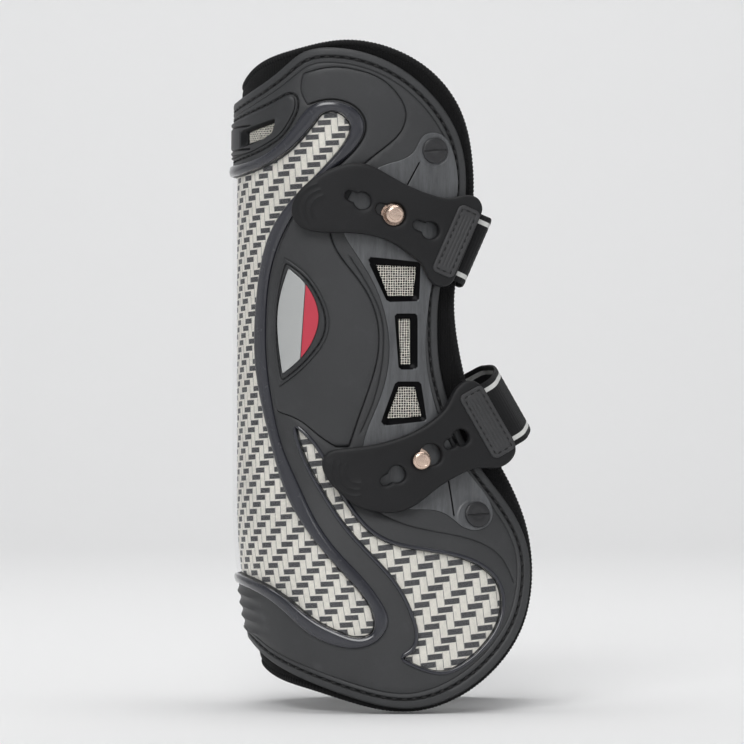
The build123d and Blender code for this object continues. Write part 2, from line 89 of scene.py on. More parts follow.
STRAPS = {
    "upper": {
        "angle": -23.5, "stud": (23.9, 59.4), "front": (51.2, 47.6), "rise": 0.0,
        "holes": [(12.2, 64.4), (23.9, 59.4), (37.3, 53.6)], "bend": 1.6, "heading": 87.5,
        "screw": (38.4, 83.5), "grip": (-5.5, 62.5), "patch": (-9.2, -0.7),
    },
    "lower": {
        "angle": 29.5, "stud": (33.7, -31.7), "front": (62.9, -14.9), "rise": 5.5,
        "holes": [(25.0, -36.7), (37.4, -29.6), (48.6, -23.3)], "bend": 5.0, "heading": 78.0,
        "screw": (54.0, -52.7), "grip": (7.5, -37.5), "patch": (-10.2, -0.4),
    },
}

# ---- Outlines in the side view, (x, z), as in the CAD ---------------------------------------
LINER_LINE = [
    [(BEHIND, 108), (-34, 109)],
    [(-34, 109), (-31, 113.6), (-14, 121.2), (6.8, 124.7), (23.1, 121.8), (39.3, 112.4),
     (49.1, 99.4), (54, 78), (53.8, 62), (49, 42), (47, 30), (47.2, 20), (48.6, 10),
     (52, -5), (58, -22), (64.9, -34.7), (73.3, -53.2), (76.2, -76.7), (72, -95),
     (61.8, -109.5), (46, -120.6), (30, -124.7), (10, -122), (-10, -116.5),
     (-26.2, -109.5), (-29.5, -103)],
    [(-29.5, -103), (BEHIND, -100)],
]
SHELL_LINE = [
    [(BEHIND, 102.5), (-36, 103)],
    [(-36, 103), (-27, 107.8), (-18, 114), (-10.8, 119.4), (0.3, 121.4), (13.3, 119.5),
     (26.3, 114), (39.3, 103.2), (48, 89.6), (51, 76), (50.2, 62), (44.5, 44), (41.4, 32),
     (40.4, 17), (41.3, 3), (46, -14), (55.5, -33), (68, -50), (74.4, -65), (75, -78),
     (71.5, -93), (61, -108.3), (46.5, -118.8), (30, -123.2), (10, -119.8), (-10, -113),
     (-25, -105.3), (-31.5, -99.5)],
    [(-31.5, -99.5), (BEHIND, -97)],
]
STRIKE_LINE = [
    [(BEHIND, 74.5), (-34, 75)],
    [(-34, 75), (-24, 78.2), (-15.2, 83.4), (-8.5, 90), (-3.2, 96.6)],
    [(-3.2, 96.6), (1, 97.8), (5.5, 96), (7.9, 92), (6.3, 87.2), (0.9, 80.2), (-8, 71.3),
     (-16.8, 61.7), (-22.3, 52), (-26, 37), (-27.6, 20), (-27.5, 5), (-25.5, -9),
     (-21, -28), (-15.7, -44.9), (-8, -58), (2, -70), (12, -81), (16.6, -90.5),
     (15.8, -95.3), (11.5, -97), (3.9, -95.2), (-6, -90.5), (-14, -84.5), (-22.7, -79),
     (-34, -75)],
    [(-34, -75), (BEHIND, -74)],
]
STRIKE_EDGE = [
    [(BEHIND, 78.7), (-34, 79)],
    [(-34, 79), (-26, 81.3), (-19, 85.8), (-13, 92.5), (-7.2, 99.4), (-0.8, 101.5),
     (6.5, 100.2), (11.5, 96.3), (12.8, 91), (9.8, 84.5), (3, 77.5), (-6, 69), (-13.5, 59),
     (-19, 48), (-22.4, 35), (-23.6, 20), (-23.4, 6), (-21.5, -9), (-18, -25),
     (-11, -41.5), (-4.5, -54.5), (4, -66), (12.5, -75), (19, -83.5), (21.8, -91),
     (18.5, -97.5), (11, -100.8), (0.5, -99.5), (-8.5, -95), (-16, -88.5), (-25.5, -81.8),
     (-34, -78.6)],
    [(-34, -78.6), (BEHIND, -78)],
]
LOWER_LINE = [
    [(-12.6, -19.4), (-7.2, -24.5), (-2.5, -31.5), (2.5, -41.5), (8.1, -50.5), (15, -58.2),
     (23, -62.6), (34, -65), (47, -67.5), (56.8, -71.6), (62.2, -77), (64, -84.5),
     (61.8, -93.5), (56.5, -100.8), (49.5, -106.5), (42.5, -109.4), (35.5, -108.4),
     (27, -104.6)],
    [(27, -104.6), (31.5, -101.5), (33, -96), (31.5, -89.5), (28, -81.5), (22, -73),
     (14, -64.5), (6, -55.5), (-2, -43.5), (-7.5, -34), (-11, -25.5), (-12.6, -19.4)],
]
OVERLAY_LINE = [
    [(-9.5, 111.6), (0.3, 113.8), (10.7, 112.7), (19.8, 109.1), (25.7, 103.2), (28.2, 97.4),
     (26.3, 90.2), (21.1, 85), (12.7, 78.2), (5, 69.5), (0.5, 60), (0.3, 52), (2.4, 46.4),
     (9.3, 37), (15.2, 27.6), (17.9, 18.3), (17.9, 8.1), (15.2, -3), (11, -15),
     (7.2, -26.5)],
    [(7.2, -26.5), (2.4, -26.5)],
    [(2.4, -26.5), (-3.5, -22.6), (-11, -16.8), (-19.3, -13.5)],
    [(-19.3, -13.5), (-20.8, -8), (-22.7, 7), (-22.9, 20), (-21.6, 35), (-18.2, 48),
     (-12.8, 59.3), (-5.3, 69.3), (3.7, 77.6), (10.6, 84.6), (13.6, 91), (12.2, 96.8),
     (7, 101), (-0.8, 102.2), (-8, 100.4)],
    [(-8, 100.4), (-10.2, 105), (-9.5, 111.6)],
]
BADGE_FRAME = [
    [(-16.3, 43.6), (-7.8, 37), (-2.7, 29.3), (-0.1, 20.8), (-1, 14), (-5.2, 7.2),
     (-12.9, -0.5), (-18, -4.3)],
    [(-18, -4.3), (-19.6, 5.5), (-20.3, 16.5), (-19.8, 27.6), (-18.2, 37), (-16.3, 43.6)],
]
BADGE_LINE = [
    [(-14.8, 39.6), (-8.6, 33.6), (-5.2, 27.6), (-3.9, 20.8), (-5.2, 14.8), (-10.3, 6.3),
     (-17, 0.4)],
    [(-17, 0.4), (-18.3, 10.6), (-18.8, 20.8), (-17.6, 30.3), (-14.8, 39.6)],
]
BADGE_SPLIT = [(-8.6, 33.6), (-10.4, 6.2)]
BRIDGE_LINE = [
    [(7.2, 48.7), (13.4, 39.2), (17.6, 31.2), (20.2, 23.6), (21.9, 14.1), (22, 6.5),
     (20.9, -1), (18.5, -9.1), (15.2, -17.1), (12.8, -24), (12.4, -32), (16.5, -42),
     (24, -48.6), (31, -50), (38, -50.2), (43.5, -52), (48.5, -55.8), (53.7, -57.9),
     (58.4, -56.4), (60.8, -52), (59.4, -46.6), (55.3, -40.7), (48, -31), (42, -19),
     (38.4, -8), (36.3, 2.7), (35.8, 12.2), (36.5, 22), (38, 33), (42, 46), (46.3, 60),
     (47.8, 72), (46.9, 79.5), (44.8, 85.8), (41.8, 89.2), (38, 90), (34.6, 88.6),
     (32.4, 84.8), (29, 81), (22.2, 78.6), (15.5, 75.4), (8.5, 68.5), (5, 60), (4.9, 53.5),
     (7.2, 48.7)],
]
VENTS = [
    [(12.9, 44.4), (34, 42.1), (33.5, 27.2), (21.4, 26.8)],
    [(23.9, 23.0), (33.0, 23.1), (33.0, 1.8), (25.6, 1.8)],
    [(24.4, -2.2), (34.2, -2.2), (36.3, -17.3), (18.2, -19.4)],
]
VENT_FLOORS = [
    [(17.4, 40.8), (32.4, 40.2), (31.2, 29.4), (21.9, 29.3)],
    [(25.7, 20.8), (30.1, 20.8), (30.2, 3.9), (26.6, 3.9)],
    [(25.9, -4.4), (31.8, -4.4), (34.4, -15.4), (21.4, -16.2)],
]
COLLAR_LINE = [
    [(BEHIND, 95), (-36, 95)],
    [(-36, 95), (-27.4, 98.1), (-21.7, 100.4), (-16.1, 103.2)],
    [(-16.1, 103.2), (-13.4, 103.5), (-12.6, 101), (-14.4, 95.3), (-18, 90), (-22.3, 86.8),
     (-28, 84), (-36, 81.6)],
    [(-36, 81.6), (BEHIND, 81.2)],
]
COLLAR_VENT = [(-33.4, 91.8), (-19.4, 95.8), (-20.8, 90), (-24.6, 87.4), (-33.4, 84.7)]
TAB_LINES = {
    "upper": [
        [(57, 61.4), (45.5, 33.9)],
        [(45.5, 33.9), (41.1, 32.5), (37.4, 34.8), (34.4, 40.8), (30.6, 44), (25, 48),
         (16.9, 51.2), (5.7, 52.5), (-7.2, 53.3), (-12.2, 55.8), (-14, 61), (-11, 68.3),
         (-4, 73.8), (2.4, 77), (8.9, 78.5), (14.5, 77.8), (21, 74.6), (28.2, 70.6),
         (37.1, 67), (45.1, 65.7), (50.5, 66.9), (55.3, 65.6), (57, 61.4)],
    ],
    "lower": [
        [(68.7, -24.6), (56.9, -4.6)],
        [(56.9, -4.6), (53, -1.9), (49.5, -2.6), (46.6, -5.3), (43.5, -11.3), (39, -16.2),
         (30.8, -21.3), (22.7, -24.3), (11.8, -26.5), (3, -27.4), (-1.3, -29), (-2.8, -33),
         (-1, -38), (3.6, -43.4), (11, -49), (20, -51), (27.5, -50.4), (34.1, -46.7),
         (41, -41.3), (48, -37.2), (55.3, -34.6), (62.4, -34.7), (67, -32.4), (69.3, -28.5),
         (68.7, -24.6)],
    ],
}
BRIDGE_RIDGES = [
    [(33.5, 79.2), (29.1, 70.9)],
    [(44.2, -39.6), (45.3, -46.0), (46.1, -51.6)],
]
COLLAR_RIB_LEVELS = (82.6, 84.6, 93.2)
HEEL_RIDGES = (-81.5, -86.0, -90.5, -95.0)
COLLAR_FLOOR = [(-31.6, 90.8), (-20.9, 94.0), (-22.0, 90.4), (-25.2, 88.3), (-31.6, 86.6)]
# Grooves of the shell in the side view.
SHELL_GROOVES = [
    [(16.1, -49.6), (25.4, -54.4), (41.7, -58.6), (54.2, -61.7), (63.4, -67.3), (68.6, -77)],
    [(7.8, 43.6), (15.4, 31.2), (19.4, 20.8), (20.1, 10.8), (18.6, -1.3), (15.1, -13.2),
     (11.8, -20.9)],
]


# ---- Curves ---------------------------------------------------------------------------------
def arc(path):
    """Length along a path at each of its points."""
    return np.r_[0, np.cumsum(np.linalg.norm(np.diff(path, axis=0), axis=1))]


def at(stations, length, rows):
    """The rows drawn at stations along the lengths."""
    return np.stack([np.interp(stations, length, column) for column in np.transpose(rows)], 1)


def spline(points, step=1.0):
    """Natural cubic spline through the points, sampled about every step."""
    p = np.array(points, float)
    t = arc(p)
    count, gap = len(p), np.diff(t)
    matrix, right = np.eye(count), np.zeros_like(p)
    for i in range(1, count - 1):
        matrix[i, i - 1:i + 2] = gap[i - 1], 2 * (gap[i - 1] + gap[i]), gap[i]
        right[i] = 6 * ((p[i + 1] - p[i]) / gap[i] - (p[i] - p[i - 1]) / gap[i - 1])
    bend = np.linalg.solve(matrix, right)
    u = np.linspace(0, t[-1], max(3, round(t[-1] / step) + 1))
    i = np.clip(np.searchsorted(t, u) - 1, 0, count - 2)
    g, before, after = gap[i][:, None], (t[i + 1] - u)[:, None], (u - t[i])[:, None]
    cubic = (bend[i] * before**3 + bend[i + 1] * after**3) / (6 * g)
    cubic += (p[i] / g - bend[i] * g / 6) * before
    return cubic + (p[i + 1] / g - bend[i + 1] * g / 6) * after


def trace(runs, step=1.0):
    """Points along an outline made of runs; two points are a line, more a spline."""
    rows = [spline(run, step)[:-1] for run in runs]
    end = np.array(runs[-1][-1], float)
    if np.linalg.norm(end - rows[0][0]) > 1e-6:
        rows.append(end[None])
    return np.vstack(rows)


def polygon(points, step=1.0):
    """A closed outline of straight lines."""
    return trace([[a, b] for a, b in zip(points, points[1:] + points[:1])], step)


def circle(centre, radius, count=48):
    turn = np.linspace(0, 2 * math.pi, count, endpoint=False)
    return np.array(centre) + radius * np.c_[np.cos(turn), np.sin(turn)]


def normals(curve, closed):
    """Left-hand normals at the points of a curve."""
    if closed:
        ahead = np.roll(curve, -1, 0) - np.roll(curve, 1, 0)
    else:
        ahead = np.gradient(curve, axis=0)
    ahead /= np.maximum(np.linalg.norm(ahead, axis=1), 1e-9)[:, None]
    return np.c_[-ahead[:, 1], ahead[:, 0]]


def closest(points, others):
    """Index of the closest of the other points to each point, and how far it is."""
    tree = KDTree(len(others))
    for i, (a, b) in enumerate(others):
        tree.insert((a, b, 0), i)
    tree.balance()
    found = [tree.find((a, b, 0)) for a, b in points]
    return np.array([row[1] for row in found], int), np.array([row[2] for row in found])


def distance(points, curve, closed):
    """Distance from each point to a curve."""
    near, _ = closest(points, curve)
    best = np.full(len(points), np.inf)
    count = len(curve)
    for step in (-1, 0):
        start = (near + step) % count if closed else np.clip(near + step, 0, count - 2)
        origin = curve[start]
        span = curve[(start + 1) % count] - origin
        share = ((points - origin) * span).sum(1) / np.maximum((span * span).sum(1), 1e-12)
        foot = origin + np.clip(share, 0, 1)[:, None] * span
        best = np.minimum(best, np.linalg.norm(points - foot, axis=1))
    return best


def nearest(points, loops):
    """Distance from each point to the nearest of some closed loops."""
    return np.minimum.reduce([distance(points, loop, True) for loop in loops])


def inside(points, loops):
    """Which points are inside the loops, taken even-odd."""
    result = np.zeros(len(points), bool)
    px, py = points[:, 0], points[:, 1]
    for loop in loops:
        for (ax, ay), (bx, by) in zip(loop, np.roll(loop, -1, 0)):
            if ay == by:
                continue
            crosses = (ay > py) != (by > py)
            result ^= crosses & (px < (bx - ax) * (py - ay) / (by - ay) + ax)
    return result


# ---- Surfaces -------------------------------------------------------------------------------
LEVEL_Z = np.arange(-150.0, 151.0, 1.0)


def softened(column):
    """One column of LEVELS against LEVEL_Z, with its corners blended."""
    z, values = np.array(LEVELS)[:, 0], np.array(LEVELS)[:, column]
    reach = np.arange(-20, 21)
    weight = np.exp(-0.5 * (reach / LEVEL_SOFTNESS) ** 2)
    rows = [w * np.interp(LEVEL_Z + r, z, values) for r, w in zip(reach, weight)]
    return sum(rows) / weight.sum()


LEVEL_BACK, LEVEL_RADIUS = softened(1), softened(2)


class BootWall:
    """The shell's own surface, right round the boot."""

    def size(self, z):
        return np.interp(z, LEVEL_Z, LEVEL_BACK), np.interp(z, LEVEL_Z, LEVEL_RADIUS)

    def domain(self, curve, side=LATERAL, d=SHELL_D):
        """Side view points as (s, z)."""
        x, z = curve[:, 0], curve[:, 1]
        back, radius = self.size(z)
        ahead = x - back - radius
        quarter = (radius + SHELL_D) * math.pi / 2
        behind = np.arccos(np.clip(-ahead / (radius + d), 0, 1)) * (radius + SHELL_D)
        lean = np.arcsin(np.maximum(ahead, 0) / (SIDE_RADIUS + d))
        front = quarter + (SIDE_RADIUS + SHELL_D) * lean
        return np.c_[side * np.where(ahead < 0, behind, front), z]

    def place(self, points, d):
        s, z = points[:, 0], points[:, 1]
        back, radius = self.size(z)
        quarter = (radius + SHELL_D) * math.pi / 2
        turn = np.minimum(np.abs(s), quarter) / (radius + SHELL_D)
        lean = np.maximum(np.abs(s) - quarter, 0) / (SIDE_RADIUS + SHELL_D)
        x = back + radius - (radius + d) * np.cos(turn) + (SIDE_RADIUS + d) * np.sin(lean)
        round_y = (radius + d) * np.sin(turn)
        wall_y = (SIDE_RADIUS + d) * np.cos(lean) - (SIDE_RADIUS - radius)
        y = np.where(lean > 0, wall_y, round_y)
        return np.c_[x, -np.sign(s) * y, z]


class TabWall:
    """The plain cylinder that the tabs lie on; its domain is (x, z)."""

    def __init__(self, side=LATERAL):
        self.side = side

    def place(self, points, d):
        x, z = points[:, 0], points[:, 1]
        reach = SIDE_RADIUS + (TAB_LOW + TAB_TOP) / 2
        lean = np.arcsin(x / reach)
        y = (SIDE_RADIUS + d) * np.cos(lean) - (SIDE_RADIUS - CANNON_RADIUS)
        return np.c_[(SIDE_RADIUS + d) * np.sin(lean), -self.side * y, z]


class FlatSpot:
    """A plane that touches a surface at one of its points; its domain is centred there."""

    def __init__(self, wall, spot):
        spots = np.array([spot, (spot[0] + 0.5, spot[1]), (spot[0], spot[1] + 0.5)], float)
        here, right, up = wall.place(spots, 0.0)
        self.origin = here
        self.right = (right - here) / np.linalg.norm(right - here)
        self.out = np.cross(self.right, up - here)
        self.out /= np.linalg.norm(self.out)
        self.up = np.cross(self.out, self.right)

    def place(self, points, d):
        d = np.broadcast_to(d, len(points))
        flat = points[:, :1] * self.right + points[:, 1:2] * self.up
        return self.origin + flat + d[:, None] * self.out


BOOT = BootWall()
TAB, TAB_MEDIAL = TabWall(), TabWall(MEDIAL)


def ring_round_back(runs, step=1.0, d=SHELL_D):
    """The closed (s, z) loop of an outline that wraps round the back."""
    curve = trace(runs, step)
    back, _ = BOOT.size(curve[:, 1])
    seen = curve[curve[:, 0] > back - d + 0.02]
    half = BOOT.domain(seen, LATERAL, d)
    top, low = half[0, 1], half[-1, 1]
    reach_top, reach_low = half[0, 0], half[-1, 0]
    lead = [(s, top) for s in np.arange(0.0, reach_top - 0.5 * step, step)]
    tail = [(s, low) for s in np.arange(0.0, reach_low - 0.5 * step, step)][::-1]
    half = np.vstack([lead, half, tail]) if lead and tail else half
    mirrored = (half * (-1, 1))[::-1][1:-1]
    return np.vstack([half, mirrored])


def side_loop(runs, side, step=1.0, d=SHELL_D):
    return BOOT.domain(trace(runs, step), side, d)


# ---- Panels: height fields over a domain, as closed solids ----------------------------------
def eased(share):
    """0 to 1 with soft ends."""
    share = np.clip(share, 0, 1)
    return share * share * (3 - 2 * share)


class Groove:
    """A soft-edged groove along a curve; a negative depth makes a bead. fade is the |s| where it
    dies out. rings are the distances from the curve at which the mesh needs a row of points."""

    def __init__(self, curve, width, depth, closed=False, fade=None):
        self.curve, self.width, self.depth = curve, width, depth
        self.closed, self.fade = closed, fade
        self.rings = [0, 0.3 * width, 0.5 * width]

    def rise(self, verts):
        t = distance(verts, self.curve, self.closed)
        rise = -self.depth * (1 - eased(t / (self.width / 2)))
        if self.fade:
            rise *= np.clip((self.fade - np.abs(verts[:, 0])) / (0.4 * self.fade), 0, 1)
        return rise


class Recess:
    """The area inside a closed curve is lower by depth, over a short slope."""

    def __init__(self, curve, depth, run=0.3):
        self.curve, self.depth, self.run = curve, depth, run
        self.rings, self.closed = [0, run], True

    def rise(self, verts):
        t = distance(verts, self.curve, True)
        signed = np.where(inside(verts, [self.curve]), t, -t)
        return -self.depth * np.clip(signed / self.run, 0, 1)


def inset(curve, by, closed=True):
    """The curve moved along its left normals, and which of its points don't cross."""
    moved = curve + by * normals(curve, closed)
    return moved, distance(moved, curve, closed) > abs(by) * 0.96 - 1e-3


def inward(loop):
    """Sign that moves a closed loop towards its inside."""
    area = np.sum(loop[:, 0] * np.roll(loop[:, 1], -1) - np.roll(loop[:, 0], -1) * loop[:, 1])
    return 1 if area > 0 else -1


def smooth_loop(loop, reach=2):
    """A closed loop with its small corners eased."""
    result = loop.copy()
    for _ in range(reach):
        result = (np.roll(result, 1, 0) + 2 * result + np.roll(result, -1, 0)) / 4
    return result


def offset_loop(loop, by):
    """A closed loop moved inwards, as one clean curve."""
    moved, keep = inset(loop, inward(loop) * by)
    return smooth_loop(moved[keep], 1)


def evened(loop, step):
    """A closed loop with points a step apart."""
    path = np.vstack([loop, loop[:1]])
    length = arc(path)
    return at(np.linspace(0, length[-1], round(length[-1] / step), endpoint=False), length, path)


def rounding(near, radius, drop):
    """Height lost within radius of an edge, as a quarter ellipse."""
    share = np.clip(near / radius, 0, 1)
    return -drop * (1 - np.sqrt(np.clip(1 - (1 - share) ** 2, 0, 1)))


GRID_CLEAR = 0.55  # share of the grid's spacing that it keeps clear of curves


class Canvas:
    """Points and constraint edges of a domain, then its triangles."""

    def __init__(self):
        self.points, self.edges, self.count = [], [], 0

    def add(self, curve, closed, keep=None):
        keep = np.ones(len(curve), bool) if keep is None else keep
        if not keep.any():
            return
        index = np.full(len(curve), -1)
        index[keep] = self.count + np.arange(keep.sum())
        self.points.append(curve[keep])
        self.count += int(keep.sum())
        last = len(curve) if closed else len(curve) - 1
        for i in range(last):
            a, b = index[i], index[(i + 1) % len(curve)]
            if a >= 0 and b >= 0:
                self.edges.append((int(a), int(b)))

    def triangles(self, loops, spacing):
        """Fills the loops with a hexagonal grid and triangulates everything."""
        fixed = np.vstack(self.points)
        low, high = loops[0].min(0), loops[0].max(0)
        rows = np.arange(low[1] + spacing / 2, high[1], spacing * 0.866)
        grid = []
        for k, z in enumerate(rows):
            run = np.arange(low[0] + spacing * (0.25 + 0.5 * (k % 2)), high[0], spacing)
            grid.append(np.c_[run, np.full(len(run), z)])
        grid = np.vstack(grid)
        grid = grid[inside(grid, loops)]
        points = np.vstack([fixed, grid[closest(grid, fixed)[1] > GRID_CLEAR * spacing]])
        out = delaunay_2d_cdt([Vector(p) for p in points], self.edges, [], 0, 1e-4)
        verts = np.array([tuple(v) for v in out[0]])
        faces = np.array([f for f in out[2] if len(f) == 3])
        faces = faces[inside(verts[faces].mean(1), loops)]
        used = np.unique(faces)
        renumber = np.full(len(verts), -1)
        renumber[used] = np.arange(len(used))
        return verts[used], renumber[faces]


def solid(name, wall, verts, faces, low, top, extra=()):
    """Closed mesh between two heights over the same triangles."""
    count = len(verts)
    edge_use = {}
    for a, b, c in faces:
        for edge in ((a, b), (b, c), (c, a)):
            edge_use[edge] = True
    rim = [(a, b) for a, b in edge_use if (b, a) not in edge_use]
    upper = wall.place(verts, top)
    lower = wall.place(verts, low)
    polygons = faces.tolist() + (faces[:, ::-1] + count).tolist()
    polygons += [(b, a, a + count, b + count) for a, b in rim]
    if getattr(wall, "side", LATERAL) == MEDIAL:
        polygons = [tuple(face[::-1]) for face in polygons]
    surf = np.vstack([np.c_[verts, top], np.c_[verts, low]])
    return mesh_object(name, np.vstack([upper, lower]), polygons, surf)


def mesh_object(name, points, polygons, surf=None, smooth_angle=38.0):
    mesh = bpy.data.meshes.new(name)
    mesh.from_pydata((np.asarray(points) * MM).tolist(), [], polygons)
    if surf is not None:
        attribute = mesh.attributes.new("surf", "FLOAT_VECTOR", "POINT")
        attribute.data.foreach_set("vector", np.asarray(surf, np.float32).ravel())
    mesh.validate()
    mesh.polygons.foreach_set("use_smooth", np.ones(len(mesh.polygons), bool))
    mesh.set_sharp_from_angle(angle=math.radians(smooth_angle))
    obj = bpy.data.objects.new(name, mesh)
    bpy.context.scene.collection.objects.link(obj)
    return obj


def panel(name, wall, loops, low, top, spacing=2.0, edge=(0.8, 0.7), features=(), shape=None,
          low_edge=None):
    """A closed panel over the loops (the first is the outer one) with features on its top.
    edge and low_edge are each a rounding's radius and its drop. shape may change the top."""
    canvas = Canvas()
    radius, drop = edge
    for i, loop in enumerate(loops):
        canvas.add(loop, True)
        toward = inward(loop) * (1 if i == 0 else -1)
        for share in (0.12, 0.4, 1.0):
            moved, keep = inset(loop, toward * share * radius)
            canvas.add(moved, True, keep & inside(moved, loops))
    for feature in features:
        for ring in feature.rings:
            for side in ((1, -1) if ring else (1,)):
                moved, keep = inset(feature.curve, side * ring, feature.closed) if ring else (
                    feature.curve, np.ones(len(feature.curve), bool))
                keep = keep & inside(moved, loops) & (nearest(moved, loops) > 0.08)
                canvas.add(moved, feature.closed, keep)
    verts, faces = canvas.triangles(loops, spacing)
    height = np.full(len(verts), float(top))
    near = nearest(verts, loops)
    for feature in features:
        height += feature.rise(verts)
    if shape is not None:
        height = shape(verts, height)
    height += rounding(near, radius, drop)
    floor = np.full(len(verts), float(low))
    if low_edge is not None:
        floor -= rounding(near, *low_edge)
    height = np.maximum(height, floor + 0.05)
    return solid(name, wall, verts, faces, floor, height)


def slopes(mouths, floors, top, low):
    """Shape whose openings slope from their mouths at top to their floors at low."""
    def shape(verts, height):
        for mouth, floor in zip(mouths, floors):
            out, into = distance(verts, mouth, True), distance(verts, floor, True)
            held = inside(verts, [mouth]) | (out < 1e-3)
            share = np.clip(out / np.maximum(out + into, 1e-6), 0, 1)
            height = np.where(held, top - (top - low) * share, height)
        return height
    return shape


# ---- Threads, wires and turned pieces -------------------------------------------------------
def capped(start, count, sides):
    """Faces of a closed tube of count rings that each have so many sides."""
    faces = []
    for i in range(count - 1):
        for k in range(sides):
            a, b = start + i * sides + k, start + i * sides + (k + 1) % sides
            faces.append((a, b, b + sides, a + sides))
    first, last = range(start, start + sides), start + (count - 1) * sides
    return faces + [tuple(first)[::-1], tuple(range(last, last + sides))]


def tubes(name, paths, sides=6):
    """Many short tubes in one mesh. Each path is points, radii, a normal at each point, and how
    flat the tube is."""
    points, polygons, surf = [], [], []
    turn = np.linspace(0, 2 * math.pi, sides, endpoint=False)
    for path, radii, out, flat in paths:
        ahead = np.gradient(path, axis=0)
        ahead /= np.linalg.norm(ahead, axis=1)[:, None]
        across = np.cross(ahead, out)
        across /= np.linalg.norm(across, axis=1)[:, None]
        up = np.cross(across, ahead)
        start, count = len(points), len(path)
        for i in range(count):
            for angle in turn:
                spoke = math.cos(angle) * across[i] + flat * math.sin(angle) * up[i]
                points.append(path[i] + radii[i] * spoke)
                surf.append((i, angle, start))
        polygons += capped(start, count, sides)
    return mesh_object(name, points, polygons, surf, 60)


def along_curve(curve, closed, pitch):
    """Arc length stations every pitch, as (point, direction) rows."""
    path = np.vstack([curve, curve[:1]]) if closed else curve
    length = arc(path)
    stations = np.arange(pitch / 2, length[-1], pitch)
    spots = at(stations, length, path)
    way = at(stations + 0.3, length, path) - spots
    way /= np.maximum(np.linalg.norm(way, axis=1), 1e-9)[:, None]
    return spots, way


def stitches(name, wall, curves, d, pitch=3.4, length=2.1, radius=0.3, slant=0.12):
    """Rows of sewn threads lying on a wall; each dips at its ends. Curves are (points, closed)."""
    paths = []
    shares = np.array([-0.5, -0.42, -0.2, 0, 0.2, 0.42, 0.5])
    dips = np.array([-0.45, -0.1, 0.12, 0.18, 0.12, -0.1, -0.45])
    for curve, closed in curves:
        spots, way = along_curve(curve, closed, pitch)
        aside = np.c_[-way[:, 1], way[:, 0]]
        for spot, ahead, left in zip(spots, way, aside):
            row = spot + shares[:, None] * length * (ahead + slant * left)
            path = wall.place(row, d + dips)
            out = wall.place(row, d + dips + 1.0) - path
            paths.append((path, radius * np.array([0.3, 0.8, 1, 1, 1, 0.8, 0.3]), out, 0.7))
    return tubes(name, paths, 6)


def wire_mesh(name, wall, areas, d, pitch=0.92, radius=0.13, wave=0.12):
    """Plain-woven wires over each area, cut at its edge."""
    paths = []
    for area in areas:
        low, high = area.min(0), area.max(0)
        for axis in (0, 1):
            other = 1 - axis
            rows = np.arange(low[other] + pitch / 2, high[other], pitch)
            for k, level in enumerate(rows):
                run = np.arange(low[axis], high[axis], pitch / 2)
                line = np.zeros((len(run), 2))
                line[:, axis], line[:, other] = run, level
                sway = 0.06 * np.sin(run * 1.7 + k * 2.4) + 0.05 * np.sin(run * 0.6 + k)
                line[:, other] += sway
                held = inside(line, [area])
                if held.sum() < 3:
                    continue
                line, run = line[held], run[held]
                sign = 1 if (k + axis) % 2 else -1
                lift = d + sign * wave * np.cos(math.pi * (run - low[axis]) / pitch)
                path = wall.place(line, lift)
                out = wall.place(line, lift + 1.0) - path
                paths.append((path, np.full(len(path), radius), out, 1.0))
    return tubes(name, paths, 5)


def turned(name, spots, profile, sides=40):
    """The same turned piece at each spot. profile rows are radius and height."""
    points, polygons, surf = [], [], []
    turn = np.linspace(0, 2 * math.pi, sides, endpoint=False)
    for spot in spots:
        start = len(points)
        for radius, height in profile:
            ring = radius * np.c_[np.cos(turn), np.sin(turn)]
            points.extend(spot.place(ring, height))
            surf.extend(np.c_[ring, np.full(sides, height)])
        polygons += capped(start, len(profile), sides)
    return mesh_object(name, points, polygons, surf, 30)


def sweep_loop(name, wall, loop, section, middle, rib=0.0, pitch=1.5):
    """A closed section of (outwards, d) rows swept round a loop, with ribs across it."""
    out = -inward(loop) * normals(loop, True)
    length = arc(loop)
    swell = 1 + rib * np.cos(2 * math.pi * length / pitch)
    points, surf = [], []
    for aside, d in section:
        reach = middle[0] + (aside - middle[0]) * swell
        height = middle[1] + (d - middle[1]) * swell
        points.append(wall.place(loop + reach[:, None] * out, height))
        surf.append(np.c_[length, np.full(len(loop), aside + d), np.full(len(loop), d)])
    count, rows = len(loop), len(section)
    polygons = []
    for i in range(rows):
        j = (i + 1) % rows
        for k in range(count):
            m = (k + 1) % count
            polygons.append((i * count + k, i * count + m, j * count + m, j * count + k))
    if inward(loop) > 0:
        polygons = [face[::-1] for face in polygons]
    return mesh_object(name, np.vstack(points), polygons, np.vstack(surf), 60)


# ---- Materials ------------------------------------------------------------------------------
INPUTS = {
    "color": "Base Color", "roughness": "Roughness", "metallic": "Metallic", "normal": "Normal",
    "coat": "Coat Weight", "coat_roughness": "Coat Roughness", "sheen": "Sheen Weight",
    "specular": "Specular IOR Level", "alpha": "Alpha", "sheen_roughness": "Sheen Roughness",
}


def maths(operation, swapped=False):
    """A method that makes one maths node of the value and another."""
    def method(value, other):
        pair = (other, value) if swapped else (value, other)
        return value.net.math(operation, *pair)
    return method


class Value:
    """A shader socket that can be reckoned with."""

    def __init__(self, net, socket):
        self.net, self.socket = net, socket

    __add__ = __radd__ = maths("ADD")
    __mul__ = __rmul__ = maths("MULTIPLY")
    __sub__, __rsub__ = maths("SUBTRACT"), maths("SUBTRACT", swapped=True)
    __truediv__ = maths("DIVIDE")
    __gt__, __lt__ = maths("GREATER_THAN"), maths("LESS_THAN")


